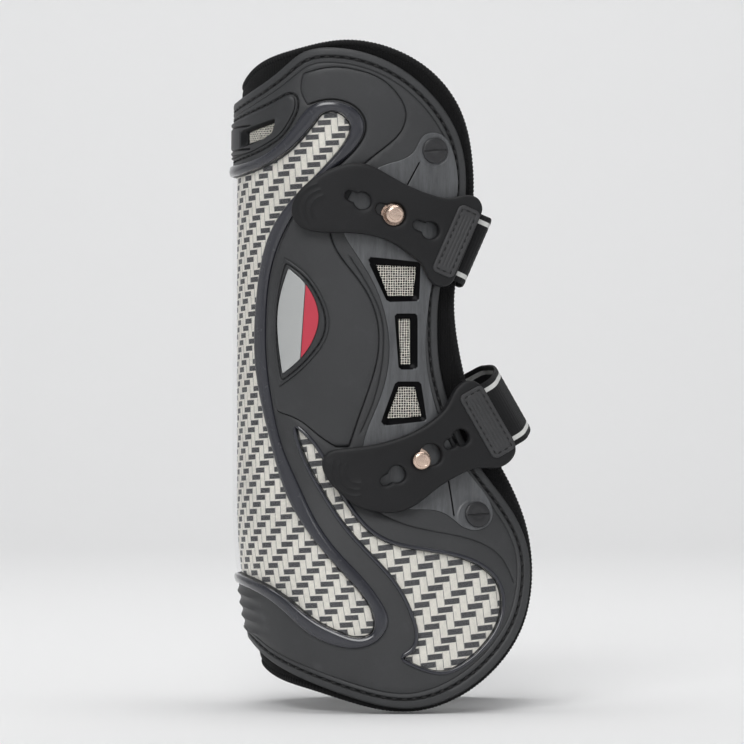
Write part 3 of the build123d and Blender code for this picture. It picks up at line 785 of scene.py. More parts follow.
class Net:
    """The nodes of one material, ending in a Principled shader."""

    def __init__(self, name):
        self.material = bpy.data.materials.new(name)
        self.material.use_nodes = True
        self.tree = self.material.node_tree
        self.tree.nodes.clear()
        self.out = self.tree.nodes.new("ShaderNodeOutputMaterial")
        self.bsdf = self.tree.nodes.new("ShaderNodeBsdfPrincipled")
        self.tree.links.new(self.bsdf.outputs[0], self.out.inputs[0])

    def put(self, socket, value):
        if isinstance(value, Value):
            self.tree.links.new(value.socket, socket)
        elif isinstance(value, (tuple, list)) and len(value) == 3 and socket.type == "RGBA":
            socket.default_value = (*value, 1)
        else:
            socket.default_value = value

    def node(self, kind, output=0, inputs=None, **settings):
        node = self.tree.nodes.new(kind)
        for key, value in settings.items():
            setattr(node, key, value)
        for key, value in (inputs or {}).items():
            self.put(node.inputs[key], value)
        return Value(self, node.outputs[output])

    def math(self, operation, *values):
        node = self.tree.nodes.new("ShaderNodeMath")
        node.operation = operation
        for socket, value in zip(node.inputs, values):
            self.put(socket, value)
        return Value(self, node.outputs[0])

    def clamp(self, value):
        return self.node("ShaderNodeClamp", inputs={"Value": value})

    def ramp(self, value, low, high):
        """0 to 1 as value goes from low to high."""
        return self.node("ShaderNodeMapRange", inputs={
            "Value": value, "From Min": low, "From Max": high}, interpolation_type="SMOOTHSTEP")

    def mix(self, share, a, b):
        node = self.tree.nodes.new("ShaderNodeMix")
        node.data_type = "RGBA"
        self.put(node.inputs[0], share)
        self.put(node.inputs[6], a)
        self.put(node.inputs[7], b)
        return Value(self, node.outputs[2])

    def parts(self, vector):
        node = self.tree.nodes.new("ShaderNodeSeparateXYZ")
        self.put(node.inputs[0], vector)
        return [Value(self, output) for output in node.outputs]

    def surf(self):
        """s, z and d in millimetres, or what else the piece keeps there."""
        return self.parts(self.node("ShaderNodeAttribute", 1, attribute_name="surf"))

    def object_place(self):
        """x, y and z in metres."""
        return self.node("ShaderNodeTexCoord", 3)

    def spot(self, x, y, z=0.0):
        return self.node("ShaderNodeCombineXYZ", inputs={0: x, 1: y, 2: z})

    def noise(self, scale, detail=3.0, where=None, roughness=0.5):
        """Cloudy noise; the scale is per millimetre unless a place is given."""
        if where is None:
            where, scale = self.object_place(), scale / MM
        return self.node("ShaderNodeTexNoise", inputs={
            "Vector": where, "Scale": scale, "Detail": detail, "Roughness": roughness})

    def bump(self, height, size):
        """size is the height of 1, in millimetres."""
        return self.node("ShaderNodeBump", inputs={
            "Height": height, "Distance": size * MM, "Strength": 1.0})

    def finish(self, **inputs):
        """Sets the shader's inputs, by the short names of INPUTS."""
        for key, value in inputs.items():
            self.put(self.bsdf.inputs[INPUTS[key]], value)
        return self.material


def tinted(net, color, spread, share):
    """The colour darker and lighter by spread as share goes from 0 to 1."""
    low = tuple(c * (1 - spread) for c in color)
    high = tuple(c * (1 + spread) for c in color)
    return net.mix(share, low, high)


def rubber(name, color, roughness=0.5, grain=0.35, depth=0.035, face=None, shadow=0.5,
           specular=0.5):
    """Moulded rubber: fine mould grain, faint flow clouds, and a little dust and handling.
    Grooves that go below the face get painted shade: a darker colour, and metallic so they lose
    their reflection."""
    net = Net(name)
    clouds = net.noise(0.03, 4.0)
    fine = net.noise(1 / grain, 3.0, roughness=0.6)
    rubbed = net.ramp(net.noise(0.11, 6.0, roughness=0.7), 0.52, 0.72)
    worn = net.ramp(net.node("ShaderNodeNewGeometry", 7), 0.52, 0.62)
    tone = net.clamp(0.45 + (clouds - 0.5) * 1.4 + (fine - 0.5) * 1.3 + rubbed * 0.3 + worn * 0.6)
    rough = roughness + (clouds - 0.5) * 0.22 + (fine - 0.5) * 0.18 - rubbed * 0.06
    shade = tinted(net, color, 0.28, tone)
    # Painted shade in grooves below the face: darker colour, and metallic to take away their
    # reflection; shadow sets how strong it is.
    painted_groove_shade = 0.0
    if face is not None:
        painted_groove_shade = net.ramp(net.surf()[2], face - 0.12, face - 0.55) * shadow
        shade = net.mix(painted_groove_shade, shade, tuple(0.12 * c for c in color))
    return net.finish(color=shade, roughness=rough, specular=specular, metallic=painted_groove_shade,
                      normal=net.bump(fine + clouds * 2.0, depth))


def knit(name, color):
    """Ribbed knit face of the neoprene."""
    net, rib = Net(name), 0.95
    s, z, _ = net.surf()
    wander = net.noise(0.25, 2.0) - 0.5
    across = net.math("SINE", (s + wander * 0.5) * (2 * math.pi / rib))
    row = z + net.math("ABSOLUTE", across) * 0.35
    loops = net.math("SINE", row * (2 * math.pi / (rib * 0.62)))
    fuzz = net.noise(4.0, 3.0)
    height = across * 0.5 + loops * 0.35 + fuzz * 0.6
    return net.finish(color=tinted(net, color, 0.5, net.clamp(height * 0.5 + 0.3)), roughness=0.85,
                      sheen=0.02, sheen_roughness=0.5, normal=net.bump(height, 0.22), specular=0.2)


def woven(name, color, pitch=0.7, stripe=None):
    """Plain woven tape; surf is along the tape, across it, and its side."""
    net = Net(name)
    along, across, _ = net.surf()
    u, v = along * (math.pi / pitch), across * (math.pi / pitch)
    warp = net.math("SINE", u) * net.math("COSINE", v)
    weft = net.math("SINE", v) * net.math("COSINE", u)
    weave = net.math("MAXIMUM", net.math("ABSOLUTE", warp), net.math("ABSOLUTE", weft))
    fuzz = net.noise(3.0, 3.0)
    height = weave + fuzz * 0.4
    shade = tinted(net, color, 0.45, net.clamp(height * 0.7 - 0.1))
    if stripe is not None:
        place, width, pale = stripe
        off = net.math("ABSOLUTE", net.math("ABSOLUTE", across) - place)
        band = net.ramp(off, width / 2 + 0.12, width / 2 - 0.12)
        shade = net.mix(band, shade, tinted(net, pale, 0.2, net.clamp(height * 0.6)))
    return net.finish(color=shade, roughness=0.8, sheen=0.04, sheen_roughness=0.5,
                      normal=net.bump(height, 0.16), specular=0.3)


def herringbone(name, cell, turn=0.0, side_view=False):
    """Printed herringbone: dark bricks along and cream bricks up, stepping by one cell. Thin cream
    lines run over and under each dark brick, and thin dark lines beside each cream one."""
    net = Net(name)
    s, z, _ = net.surf()
    if side_view:
        s = net.parts(net.object_place())[0] * (1 / MM)
    c, n = math.cos(math.radians(turn)), math.sin(math.radians(turn))
    u, v = (s * c + z * n) / cell, (z * c - s * n) / cell
    i, j = net.math("FLOOR", u), net.math("FLOOR", v)
    fu, fv = u - i, v - j
    k = net.math("FLOORED_MODULO", i - j, 4.0)
    dark = k < 1.5
    over = net.math("MINIMUM", fv, 1.0 - fv)
    beside = net.math("MINIMUM", fu, 1.0 - fu)
    end = net.math("MINIMUM", fu + (k > 0.5), 2.0 - fu - (k > 0.5))
    core = net.ramp(over, 0.10, 0.15) * net.ramp(end, 0.0, 0.04) * dark
    seam = net.ramp(beside, 0.07, 0.025) * (1.0 - dark)
    tone = net.clamp(0.5 + (net.noise(0.6, 4.0) - 0.5) * 1.4 + (net.noise(0.05, 2.0) - 0.5))
    cream = tinted(net, CREAM, 0.14, tone)
    black = tinted(net, FILM_DARK, 0.5, net.clamp(net.noise(1.2, 4.0) * 1.6 - 0.3))
    shade = net.mix(net.clamp(core + seam * 0.8), cream, black)
    height = net.ramp(over, 0.02, 0.2) * dark + net.ramp(beside, 0.02, 0.2) * (1.0 - dark)
    return net.finish(color=shade, roughness=0.34 + core * 0.12, metallic=(1.0 - core) * 0.2,
                      normal=net.bump(height + net.noise(1.5, 2.0) * 0.15, 0.05))


def clear_plastic(name, alpha=0.05):
    """Clear moulding with hairline scratches and a faint smoke."""
    net = Net(name)
    streak = [value * factor for value, factor in zip(net.surf(), (1.2, 0.05, 0.0))]
    scratches = net.noise(1.0, 5.0, net.spot(*streak))
    haze = net.noise(0.02, 3.0)
    rough = 0.16 + net.ramp(scratches, 0.55, 0.75) * 0.2 + (haze - 0.5) * 0.1
    return net.finish(color=tinted(net, (0.5, 0.51, 0.54), 0.15, haze), roughness=rough,
                      alpha=net.clamp(alpha + net.ramp(scratches, 0.6, 0.8) * 0.05), specular=0.6,
                      normal=net.bump(scratches + haze * 3.0, 0.02))


def gloss(name, color, roughness=0.22):
    """Glossy moulded plastic with orange peel and fine rub marks."""
    net = Net(name)
    peel = net.noise(0.35, 2.0)
    rubbed = net.ramp(net.noise(0.4, 6.0, roughness=0.75), 0.5, 0.75)
    cloud = net.noise(0.03, 3.0)
    return net.finish(color=tinted(net, color, 0.2, cloud),
                      roughness=roughness + rubbed * 0.16 + (cloud - 0.5) * 0.1,
                      coat=0.6, coat_roughness=0.16, normal=net.bump(peel, 0.03))


def smoky(name, color):
    """Smoky flexible plastic, frosted in streaks along its length; where its top sinks below the
    face, as in the windows' sloped walls, it gets painted shade.
    """
    net = Net(name)
    s, z, d = net.surf()
    streaks = net.noise(1.0, 5.0, net.spot(s * 0.55, z * 0.06, d * 0.1), 0.6)
    frost = net.noise(1.0, 4.0, net.spot(s * 3.0, z * 0.35, 0.0), 0.65)
    share = net.clamp(0.5 + (streaks - 0.5) * 2.2 + (frost - 0.5) * 1.1)
    # Painted shade where the bridge's top sinks below its face, mostly the windows' sloped walls:
    # near-black colour, and metallic to take away their reflection.
    painted_vent_shade = net.ramp(d, 3.36, 3.2)
    shade = net.mix(painted_vent_shade, tinted(net, color, 0.3, share), (0.004, 0.004, 0.0045))
    return net.finish(color=shade, roughness=0.36 + (frost - 0.5) * 0.3 + painted_vent_shade * 0.15,
                      metallic=painted_vent_shade, coat=0.1, coat_roughness=0.25,
                      normal=net.bump(frost + streaks, 0.04))


def metal(name, color, roughness=0.3):
    """Turned metal with fine rings and a few marks."""
    net = Net(name)
    x, y, _ = net.surf()
    radius = net.math("SQRT", x * x + y * y)
    turn = net.noise(1.0, 4.0, net.spot(radius * 9.0, 0.0))
    marks = net.ramp(net.noise(0.8, 6.0, roughness=0.8), 0.55, 0.7)
    return net.finish(color=tinted(net, color, 0.18, turn), metallic=0.9,
                      roughness=roughness + (turn - 0.5) * 0.25 + marks * 0.15,
                      normal=net.bump(turn + marks * 0.6, 0.02))


def plated(name, color, metallic=0.35):
    """Satin printed plate with fine brushing."""
    net = Net(name)
    s, z, _ = net.surf()
    hair = net.noise(1.0, 4.0, net.spot(s * 0.4, z * 7.0, 0.0), 0.7)
    tone = net.clamp(hair * 0.8 + net.noise(0.08, 3.0) * 0.4 - 0.1)
    return net.finish(color=tinted(net, color, 0.1, tone), metallic=metallic,
                      roughness=0.36 + (hair - 0.5) * 0.2, normal=net.bump(hair, 0.012),
                      coat=0.3, coat_roughness=0.2)


def thread(name, color):
    """Twisted sewing thread; surf is the step along it and the angle round it."""
    net = Net(name)
    step, turn, _ = net.surf()
    twist = net.math("SINE", step * 2.4 + turn * 2.0)
    fuzz = net.noise(3.0, 3.0)
    return net.finish(color=tinted(net, color, 0.4, net.clamp(0.5 + twist * 0.4)), roughness=0.7,
                      normal=net.bump(twist + fuzz, 0.04), sheen=0.1)


def wire(name, color):
    """Pale coated wire, unevenly bright."""
    net = Net(name)
    tone = net.noise(0.5, 4.0)
    return net.finish(color=tinted(net, color, 0.35, tone), metallic=0.2,
                      roughness=0.36 + (tone - 0.5) * 0.3,
                      normal=net.bump(net.noise(6.0, 2.0), 0.02))


CREAM = (0.86, 0.83, 0.75)
FILM_DARK = (0.026, 0.026, 0.028)
SHELL_COLOR = (0.036, 0.037, 0.039)
LOOK = {
    "liner": knit("neoprene knit", (0.0045, 0.0045, 0.005)),
    "binding": woven("binding tape", (0.004, 0.004, 0.0045), 0.9),
    # face gives the height below which the rubber's grooves get painted shade.
    "shell": rubber("moulded shell", SHELL_COLOR, 0.5, face=3.0),
    "strike_film": herringbone("strike film", 2.55, turn=3.0),
    "lower_film": herringbone("lower film", 2.8, turn=6.0, side_view=True),
    "cover": clear_plastic("clear cover"),
    "bezel": gloss("glossy bead", (0.022, 0.023, 0.031), 0.2),
    "overlay": rubber("overlay rubber", (0.034, 0.035, 0.037), 0.46, grain=0.3),
    "frame": rubber("badge frame", (0.026, 0.027, 0.029), 0.42, grain=0.3, face=4.6, shadow=0.9),
    "collar": rubber("collar frame", (0.029, 0.030, 0.032), 0.48, grain=0.3, face=3.8, shadow=0.7),
    "badge": plated("badge plate", (0.47, 0.48, 0.475)),
    "accent": plated("badge accent", (0.56, 0.04, 0.07), 0.15),
    "bridge": smoky("smoky bridge", (0.088, 0.091, 0.096)),
    "wire": wire("vent wire", CREAM),
    "stud": metal("stud metal", (0.72, 0.55, 0.45), 0.24),
    "screw": rubber("screw cap", (0.022, 0.022, 0.024), 0.4),
    "washer": metal("washer", (0.5, 0.5, 0.5), 0.35),
    "tab": rubber("strap rubber", (0.0135, 0.0135, 0.0145), 0.5, grain=0.28, specular=0.25),
    "patch": rubber("patch rubber", (0.036, 0.036, 0.038), 0.55, grain=0.5, depth=0.08),
    "elastic": woven("elastic", (0.010, 0.010, 0.011), 0.6, stripe=(10.6, 1.7, (0.72, 0.72, 0.70))),
    "thread": thread("thread", (0.003, 0.003, 0.0035)),
}


def dress(obj, look, body="boot", nodes=()):
    """Gives a piece its material, slot and body, and hides the CAD nodes that it stands for."""
    obj.data.materials.clear()
    obj.data.materials.append(LOOK[look])
    if nodes:
        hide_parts(*nodes)
    if body:
        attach(obj, body)
    return obj


# ---- Strap shapes ---------------------------------------------------------------------------
def along(strap, u, w):
    """Side view place at u along the strap from the tab's front edge, and w across it."""
    a = math.radians(strap["angle"])
    x0, z0 = strap["front"]
    return x0 + u * math.cos(a) - w * math.sin(a), z0 + u * math.sin(a) + w * math.cos(a)


def turned_by(points, angle, place):
    a = math.radians(angle)
    matrix = np.array([(math.cos(a), math.sin(a)), (-math.sin(a), math.cos(a))])
    return np.asarray(points) @ matrix + place


def keyhole(strap, place, big, small):
    """Round end at place, and the narrow end KEYHOLE_RUN towards the back."""
    corner = math.asin(small / big)
    arc = np.linspace(-math.pi + corner, math.pi - corner, 40)
    end = np.linspace(math.pi / 2, 3 * math.pi / 2, 20)
    shape = np.vstack([
        big * np.c_[np.cos(arc), np.sin(arc)],
        (-KEYHOLE_RUN, 0) + small * np.c_[np.cos(end), np.sin(end)],
    ])
    return turned_by(shape, strap["angle"], place)


def keyhole_radii(strap, place):
    """The rubber opens round the stud; its free keyholes are drawn in."""
    if math.dist(strap["stud"], place) < KEYHOLE_RUN:
        return KEYHOLE_BIG, KEYHOLE_SMALL
    return KEYHOLE_FREE


def grip_lines(strap):
    """Nested crescents at the tab's rear tip, for the fingers."""
    lines = []
    for reach in (6.0, 8.6, 11.2):
        turn = np.linspace(math.radians(125), math.radians(235), 24)
        shape = np.c_[reach * np.cos(turn) + 5.0, 0.86 * reach * np.sin(turn)]
        lines.append(turned_by(shape, strap["angle"] + 8.0, strap["grip"]))
    return lines


def strip(strap, u_low, u_high, width, corner, rise=0.0):
    """Rounded rectangle in the side view, across the strap."""
    middle = along(strap, (u_low + u_high) / 2, rise)
    half = np.array([(u_high - u_low) / 2, width / 2]) - corner
    rows = []
    for k, signs in enumerate([(1, 1), (-1, 1), (-1, -1), (1, -1)]):
        turn = np.linspace(0, math.pi / 2, 7) + k * math.pi / 2
        rows.append(half * signs + corner * np.c_[np.cos(turn), np.sin(turn)])
        ahead = half * [(-1, 1), (-1, -1), (1, -1), (1, 1)][k]
        start = rows[-1][-1]
        end = ahead + corner * np.array([math.cos(turn[-1]), math.sin(turn[-1])])
        steps = max(2, int(np.linalg.norm(end - start)))
        rows.append(start + np.linspace(0, 1, steps + 1)[1:-1, None] * (end - start))
    return turned_by(np.vstack(rows), strap["angle"], middle)


def wall_at(x, d):
    """Half width of the cannon's side wall at x, and its slope towards the leg."""
    reach = math.sqrt((SIDE_RADIUS + d) ** 2 - x * x)
    return reach - (SIDE_RADIUS - CANNON_RADIUS), x / reach


RIB_PITCH, WEB_STEP = 1.1, 0.275
FOLD_ROW, ANCHOR_ROW = 5, -7  # rows of the route at the tab's fold and at the anchor's front


def web_route(strap):
    """The elastic's middle line: rows of u, y, heading, lift and lean, from under the tab round
    the front of the leg to its anchor, and the row at the middle of its corner."""
    a = math.radians(strap["angle"])
    x0 = strap["front"][0]
    half_width, slope = wall_at(x0 + FOLD * math.cos(a), WEB_OUTER)
    start = math.degrees(math.atan(slope * math.cos(a)))
    bend, end = strap["bend"], strap["heading"]
    sin, cos = (lambda h: math.sin(math.radians(h))), (lambda h: math.cos(math.radians(h)))
    half = []
    for u in (-9.0, -7.0, -5.0, -3.0, -1.0, 0.5):
        y, local = wall_at(along(strap, u, 0)[0], WEB_OUTER)
        half.append((u, -y, math.degrees(math.atan(local * math.cos(a))), local))
    half.append((FOLD, -half_width, start, slope))
    u0, y0 = FOLD + cos(start), -half_width + sin(start)
    for k in range(0, 13):
        h = start + k / 12 * (end - start)
        half.append((u0 + bend * (sin(h) - sin(start)), y0 + bend * (cos(start) - cos(h)),
                     h, slope))
    corner_row = len(half) - 7
    u_bend, y_bend = half[-1][0], half[-1][1]
    front = -y_bend / cos(end)
    for k in range(1, 13):
        h = end + k / 12 * (90 - end)
        half.append((u_bend + front * (sin(h) - sin(end)), y_bend + front * (cos(end) - cos(h)),
                     h, slope))
    turning = [row for row in half if row[0] > 1.0]
    full = half + [(u, -y, 180 - h, lean) for u, y, h, lean in reversed(turning[:-1])]
    first = len(half) - len(turning)
    last = len(full) - 1
    route = []
    for i, (u, y, h, lean) in enumerate(full):
        share = min(max((i - first) / (last - first), 0), 1)
        route.append((u, y, h, strap["rise"] * eased(share), lean * (1 - 2 * share)))
    for u in (-2.0, -5.0, -8.0, -11.0, -14.0, -17.0, -20.0):
        d = WEB_INNER + (0.4 if u > -3 else 0.0)
        y, local = wall_at(along(strap, u, strap["rise"])[0], d)
        heading = 180 - math.degrees(math.atan(local * math.cos(a)))
        route.append((u, y, heading, strap["rise"], -local))
    return route, corner_row


def resampled(rows, step):
    """Rows of numbers drawn evenly along the smooth line of their first three."""
    rows = np.array(rows)
    gap = np.linalg.norm(np.diff(rows[:, :3], axis=0), axis=1)
    keep = np.r_[True, gap > 0.05]
    rows = rows[keep]
    t = arc(rows[:, :3])
    u = np.arange(0, t[-1] + 1e-6, step)
    out = at(u, t, rows)
    kernel = np.exp(-0.5 * (np.arange(-8, 9) * step / 0.8) ** 2)
    kernel /= kernel.sum()
    padded_rows = np.vstack([2 * out[:1] - out[8:0:-1], out, 2 * out[-1:] - out[-2:-10:-1]])
    smooth = np.stack([np.convolve(column, kernel, "valid") for column in padded_rows.T], 1)
    return smooth, u


def web_piece(name, rows, start_length):
    """Ribbed elastic along rows of centre, across and out directions."""
    widths = WEB_WIDTH / 2 * np.r_[-1, -0.985, np.linspace(-0.95, 0.95, 29), 0.985, 1]
    thick = WEB_THICK / 2 * np.r_[0.25, 0.7, np.full(29, 1.0), 0.7, 0.25]
    points, surf = [], []
    count = len(rows)
    for face in (1, -1):
        for i, row in enumerate(rows):
            centre, across, out = row[:3], row[3:6], row[6:9]
            length = start_length + i * WEB_STEP
            rib = 0.07 * math.cos(2 * math.pi * length / RIB_PITCH)
            for w, t in zip(widths, thick):
                cords = 0.05 * math.cos(2 * math.pi * w / 1.5)
                points.append(centre + w * across + face * (t + rib - 0.07 + cords - 0.05) * out)
                surf.append((length, w, face))
    across_count = len(widths)
    layer = count * across_count
    polygons = []
    for i in range(count - 1):
        for k in range(across_count - 1):
            a = i * across_count + k
            b, c, d = a + 1, a + 1 + across_count, a + across_count
            polygons.append((a, b, c, d))
            polygons.append((a + layer, d + layer, c + layer, b + layer))
        for k, flip in ((0, False), (across_count - 1, True)):
            a, d = i * across_count + k, (i + 1) * across_count + k
            quad = (a, d, d + layer, a + layer)
            polygons.append(quad[::-1] if flip else quad)
    for i, flip in ((0, True), (count - 1, False)):
        for k in range(across_count - 1):
            a, b = i * across_count + k, i * across_count + k + 1
            quad = (a, b, b + layer, a + layer)
            polygons.append(quad[::-1] if flip else quad)
    return mesh_object(name, points, polygons, surf, 70)


def make_elastic(name, strap):
    """The elastic in two pieces: the loop from its corner to the anchor, and the end from under the
    tab to the corner."""
    route, corner_row = web_route(strap)
    a = math.radians(strap["angle"])
    rows = []
    for u, y, heading, lift, lean in route:
        x, z = along(strap, u, lift)
        h = math.radians(heading)
        ahead = Vector((math.cos(h) * math.cos(a), math.sin(h), math.cos(h) * math.sin(a)))
        across = Vector((-math.sin(a), -math.sin(a) * lean, math.cos(a))).normalized()
        ahead = (ahead - across * ahead.dot(across)).normalized()
        rows.append((x, y, z, *across, *ahead.cross(across)))
    smooth, length = resampled(rows, WEB_STEP)
    for way in (smooth[:, 3:6], smooth[:, 6:9]):
        way /= np.linalg.norm(way, axis=1)[:, None]
    cut, fold, anchor = (
        int(np.argmin(np.linalg.norm(smooth[:, :3] - np.array(rows[row][:3]), axis=1)))
        for row in (corner_row, FOLD_ROW, ANCHOR_ROW))
    loop = web_piece(f"{name}_elastic_loop", smooth[cut:], length[cut])
    end = web_piece(f"{name}_elastic_end", smooth[:cut + 1], 0.0)
    for piece, pair, start, stop, nodes in (
        (loop, ("boot", f"{name}_elastic"), smooth[anchor], smooth[cut],
         (f"{name}_web_loop", f"{name}_web_corner")),
        (end, (f"{name}_elastic", f"{name}_strap"), smooth[cut], smooth[fold],
         (f"{name}_web_end",)),
    ):
        dress(piece, "elastic", None, nodes)
        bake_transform(piece)


# ---- Badge and screws -----------------------------------------------------------------------
def split_badge(face, side):
    """The rear and the front of the badge's face, cut along BADGE_SPLIT with a hairline gap."""
    half_gap = 0.12
    start, end = BOOT.domain(np.array(BADGE_SPLIT, float), side)
    way = (end - start) / np.linalg.norm(end - start)
    offset = (face - start) @ np.array([-way[1], way[0]])
    halves = []
    for sign in (1, -1):
        kept = []
        for a, b, oa, ob in zip(face, np.roll(face, -1, 0), offset, np.roll(offset, -1)):
            if sign * oa > half_gap:
                kept.append(a)
            if (sign * oa > half_gap) != (sign * ob > half_gap):
                kept.append(a + (half_gap * sign - oa) / (ob - oa) * (b - a))
        halves.append(np.array(kept))
    return sorted(halves, key=lambda half: abs(half[:, 0]).mean())


def cut_slots(screws, spots):
    """Screwdriver slots across the screw heads."""
    cutters = []
    for spot in spots:
        box = np.array([(-4.3, -0.3), (4.3, -0.3), (4.3, 0.3), (-4.3, 0.3)])
        for height in (4.0, 5.5):
            cutters.append(spot.place(turned_by(box, 4.0, (0, 0)), height))
    points = np.vstack(cutters)
    faces = []
    for i in range(len(spots)):
        b = i * 8
        faces += [(b + 3, b + 2, b + 1, b), (b + 4, b + 5, b + 6, b + 7)]
        faces += [(b + k, b + (k + 1) % 4, b + 4 + (k + 1) % 4, b + 4 + k) for k in range(4)]
    cutter = mesh_object("slot_cutter", points, faces)
    modifier = screws.modifiers.new("slots", "BOOLEAN")
    modifier.operation, modifier.object, modifier.solver = "DIFFERENCE", cutter, "EXACT"
    bpy.context.view_layer.update()
    graph = bpy.context.evaluated_depsgraph_get()
    mesh = bpy.data.meshes.new_from_object(screws.evaluated_get(graph))
    screws.modifiers.clear()
    screws.data = mesh
    bpy.data.objects.remove(cutter)


# ---- Liner and binding ----------------------------------------------------------------------
LINER_LOW, LINER_TOP = -4.5, -0.25
liner_loop = ring_round_back(LINER_LINE, 1.4, LINER_TOP)
liner = panel("liner", BOOT, [offset_loop(liner_loop, 2.4)], LINER_LOW, LINER_TOP, 2.6,
              (1.6, 0.9), low_edge=(2.2, -1.4))
dress(liner, "liner", nodes=("neoprene_liner", "impact_foam"))

BIND_MIDDLE, BIND_REACH = (-1.55, -2.42), (1.5, 2.15)  # outwards and d
turn = np.linspace(0, 2 * math.pi, 17)[:-1]
binding_section = [
    (BIND_MIDDLE[0] + BIND_REACH[0] * math.copysign(abs(math.cos(a)) ** 0.8, math.cos(a)),
     BIND_MIDDLE[1] + BIND_REACH[1] * math.copysign(abs(math.sin(a)) ** 0.7, math.sin(a)))
    for a in turn
]
binding = sweep_loop("binding", BOOT, evened(smooth_loop(liner_loop, 3), 0.4), binding_section,
                     BIND_MIDDLE, 0.075)
dress(binding, "binding", nodes=("liner_binding",))

# ---- Shell ----------------------------------------------------------------------------------
shell_loop = ring_round_back(SHELL_LINE, 1.2)
strike_loop = ring_round_back(STRIKE_LINE, 1.2)
strike_outer = ring_round_back(STRIKE_EDGE, 1.2)
collar_loop = ring_round_back(COLLAR_LINE, 1.2)
shell_groove = offset_loop(shell_loop, 3.4)
features = [
    Groove(shell_groove, 1.7, 0.85, True),
    Groove(offset_loop(shell_loop, 5.6), 0.9, 0.35, True),
    Recess(strike_loop, 1.9), Recess(collar_loop, 2.0),
]
run = np.arange(-30.0, 30.1, 1.2)
for level in HEEL_RIDGES:
    features.append(Groove(np.c_[run, level - 0.10 * np.abs(run)], 3.4, -0.9, fade=30.0))
vent_holes = []
for side in SIDES.values():
    features.append(Recess(side_loop(LOWER_LINE, side, 1.2), 1.9))
    features.append(Recess(side_loop(BRIDGE_LINE, side, 1.2), 1.35))
    vent_holes += [BOOT.domain(polygon(v, 1.2), side) for v in VENTS]
    vent_holes.append(BOOT.domain(polygon(COLLAR_VENT, 1.2), side))
    features += [Groove(BOOT.domain(spline(line, 1.2), side), 1.1, 0.4) for line in SHELL_GROOVES]
    features.append(Groove(side_loop(OVERLAY_LINE, side, 1.2), 1.3, 0.45, True))
collar_groove = offset_loop(collar_loop, -1.1)
features.append(Groove(collar_groove, 1.4, 0.7, True))
shell = panel("shell", BOOT, [shell_loop] + vent_holes, 0.02, 3.0, 2.2, (1.3, 1.1), features)
dress(shell, "shell", nodes=("outer_shell",))
shell_seam = stitches("shell_seam", BOOT, [(shell_groove, True)], 2.5, 3.75, 2.2, 0.5)
collar_seam = stitches("collar_seam", BOOT, [(collar_groove, True)], 2.6, 3.2, 1.8, 0.4)
dress(collar_seam, "thread")
dress(shell_seam, "thread")


# ---- Strike plate ---------------------------------------------------------------------------
# Low face, top face, grid spacing and edge of the panels that are made more than once.
FILM = (1.12, 1.35, 3.0, (0.2, 0.02))
PLATE = (3.75, 4.3, 1.2, (0.3, 0.12))

film = panel("strike_film", BOOT, [offset_loop(strike_loop, 0.35)], *FILM)
dress(film, "strike_film", nodes=("strike_film",))
cover = panel("strike_cover", BOOT, [offset_loop(strike_loop, 0.25)], 1.6, 3.15, 3.0, (1.2, 0.6))
dress(cover, "cover", nodes=("strike_cover",))
bezel = panel("strike_bezel", BOOT, [strike_outer, strike_loop], 2.9, 4.4, 1.6, (1.7, 1.0))
dress(bezel, "bezel", nodes=("strike_bezel",))

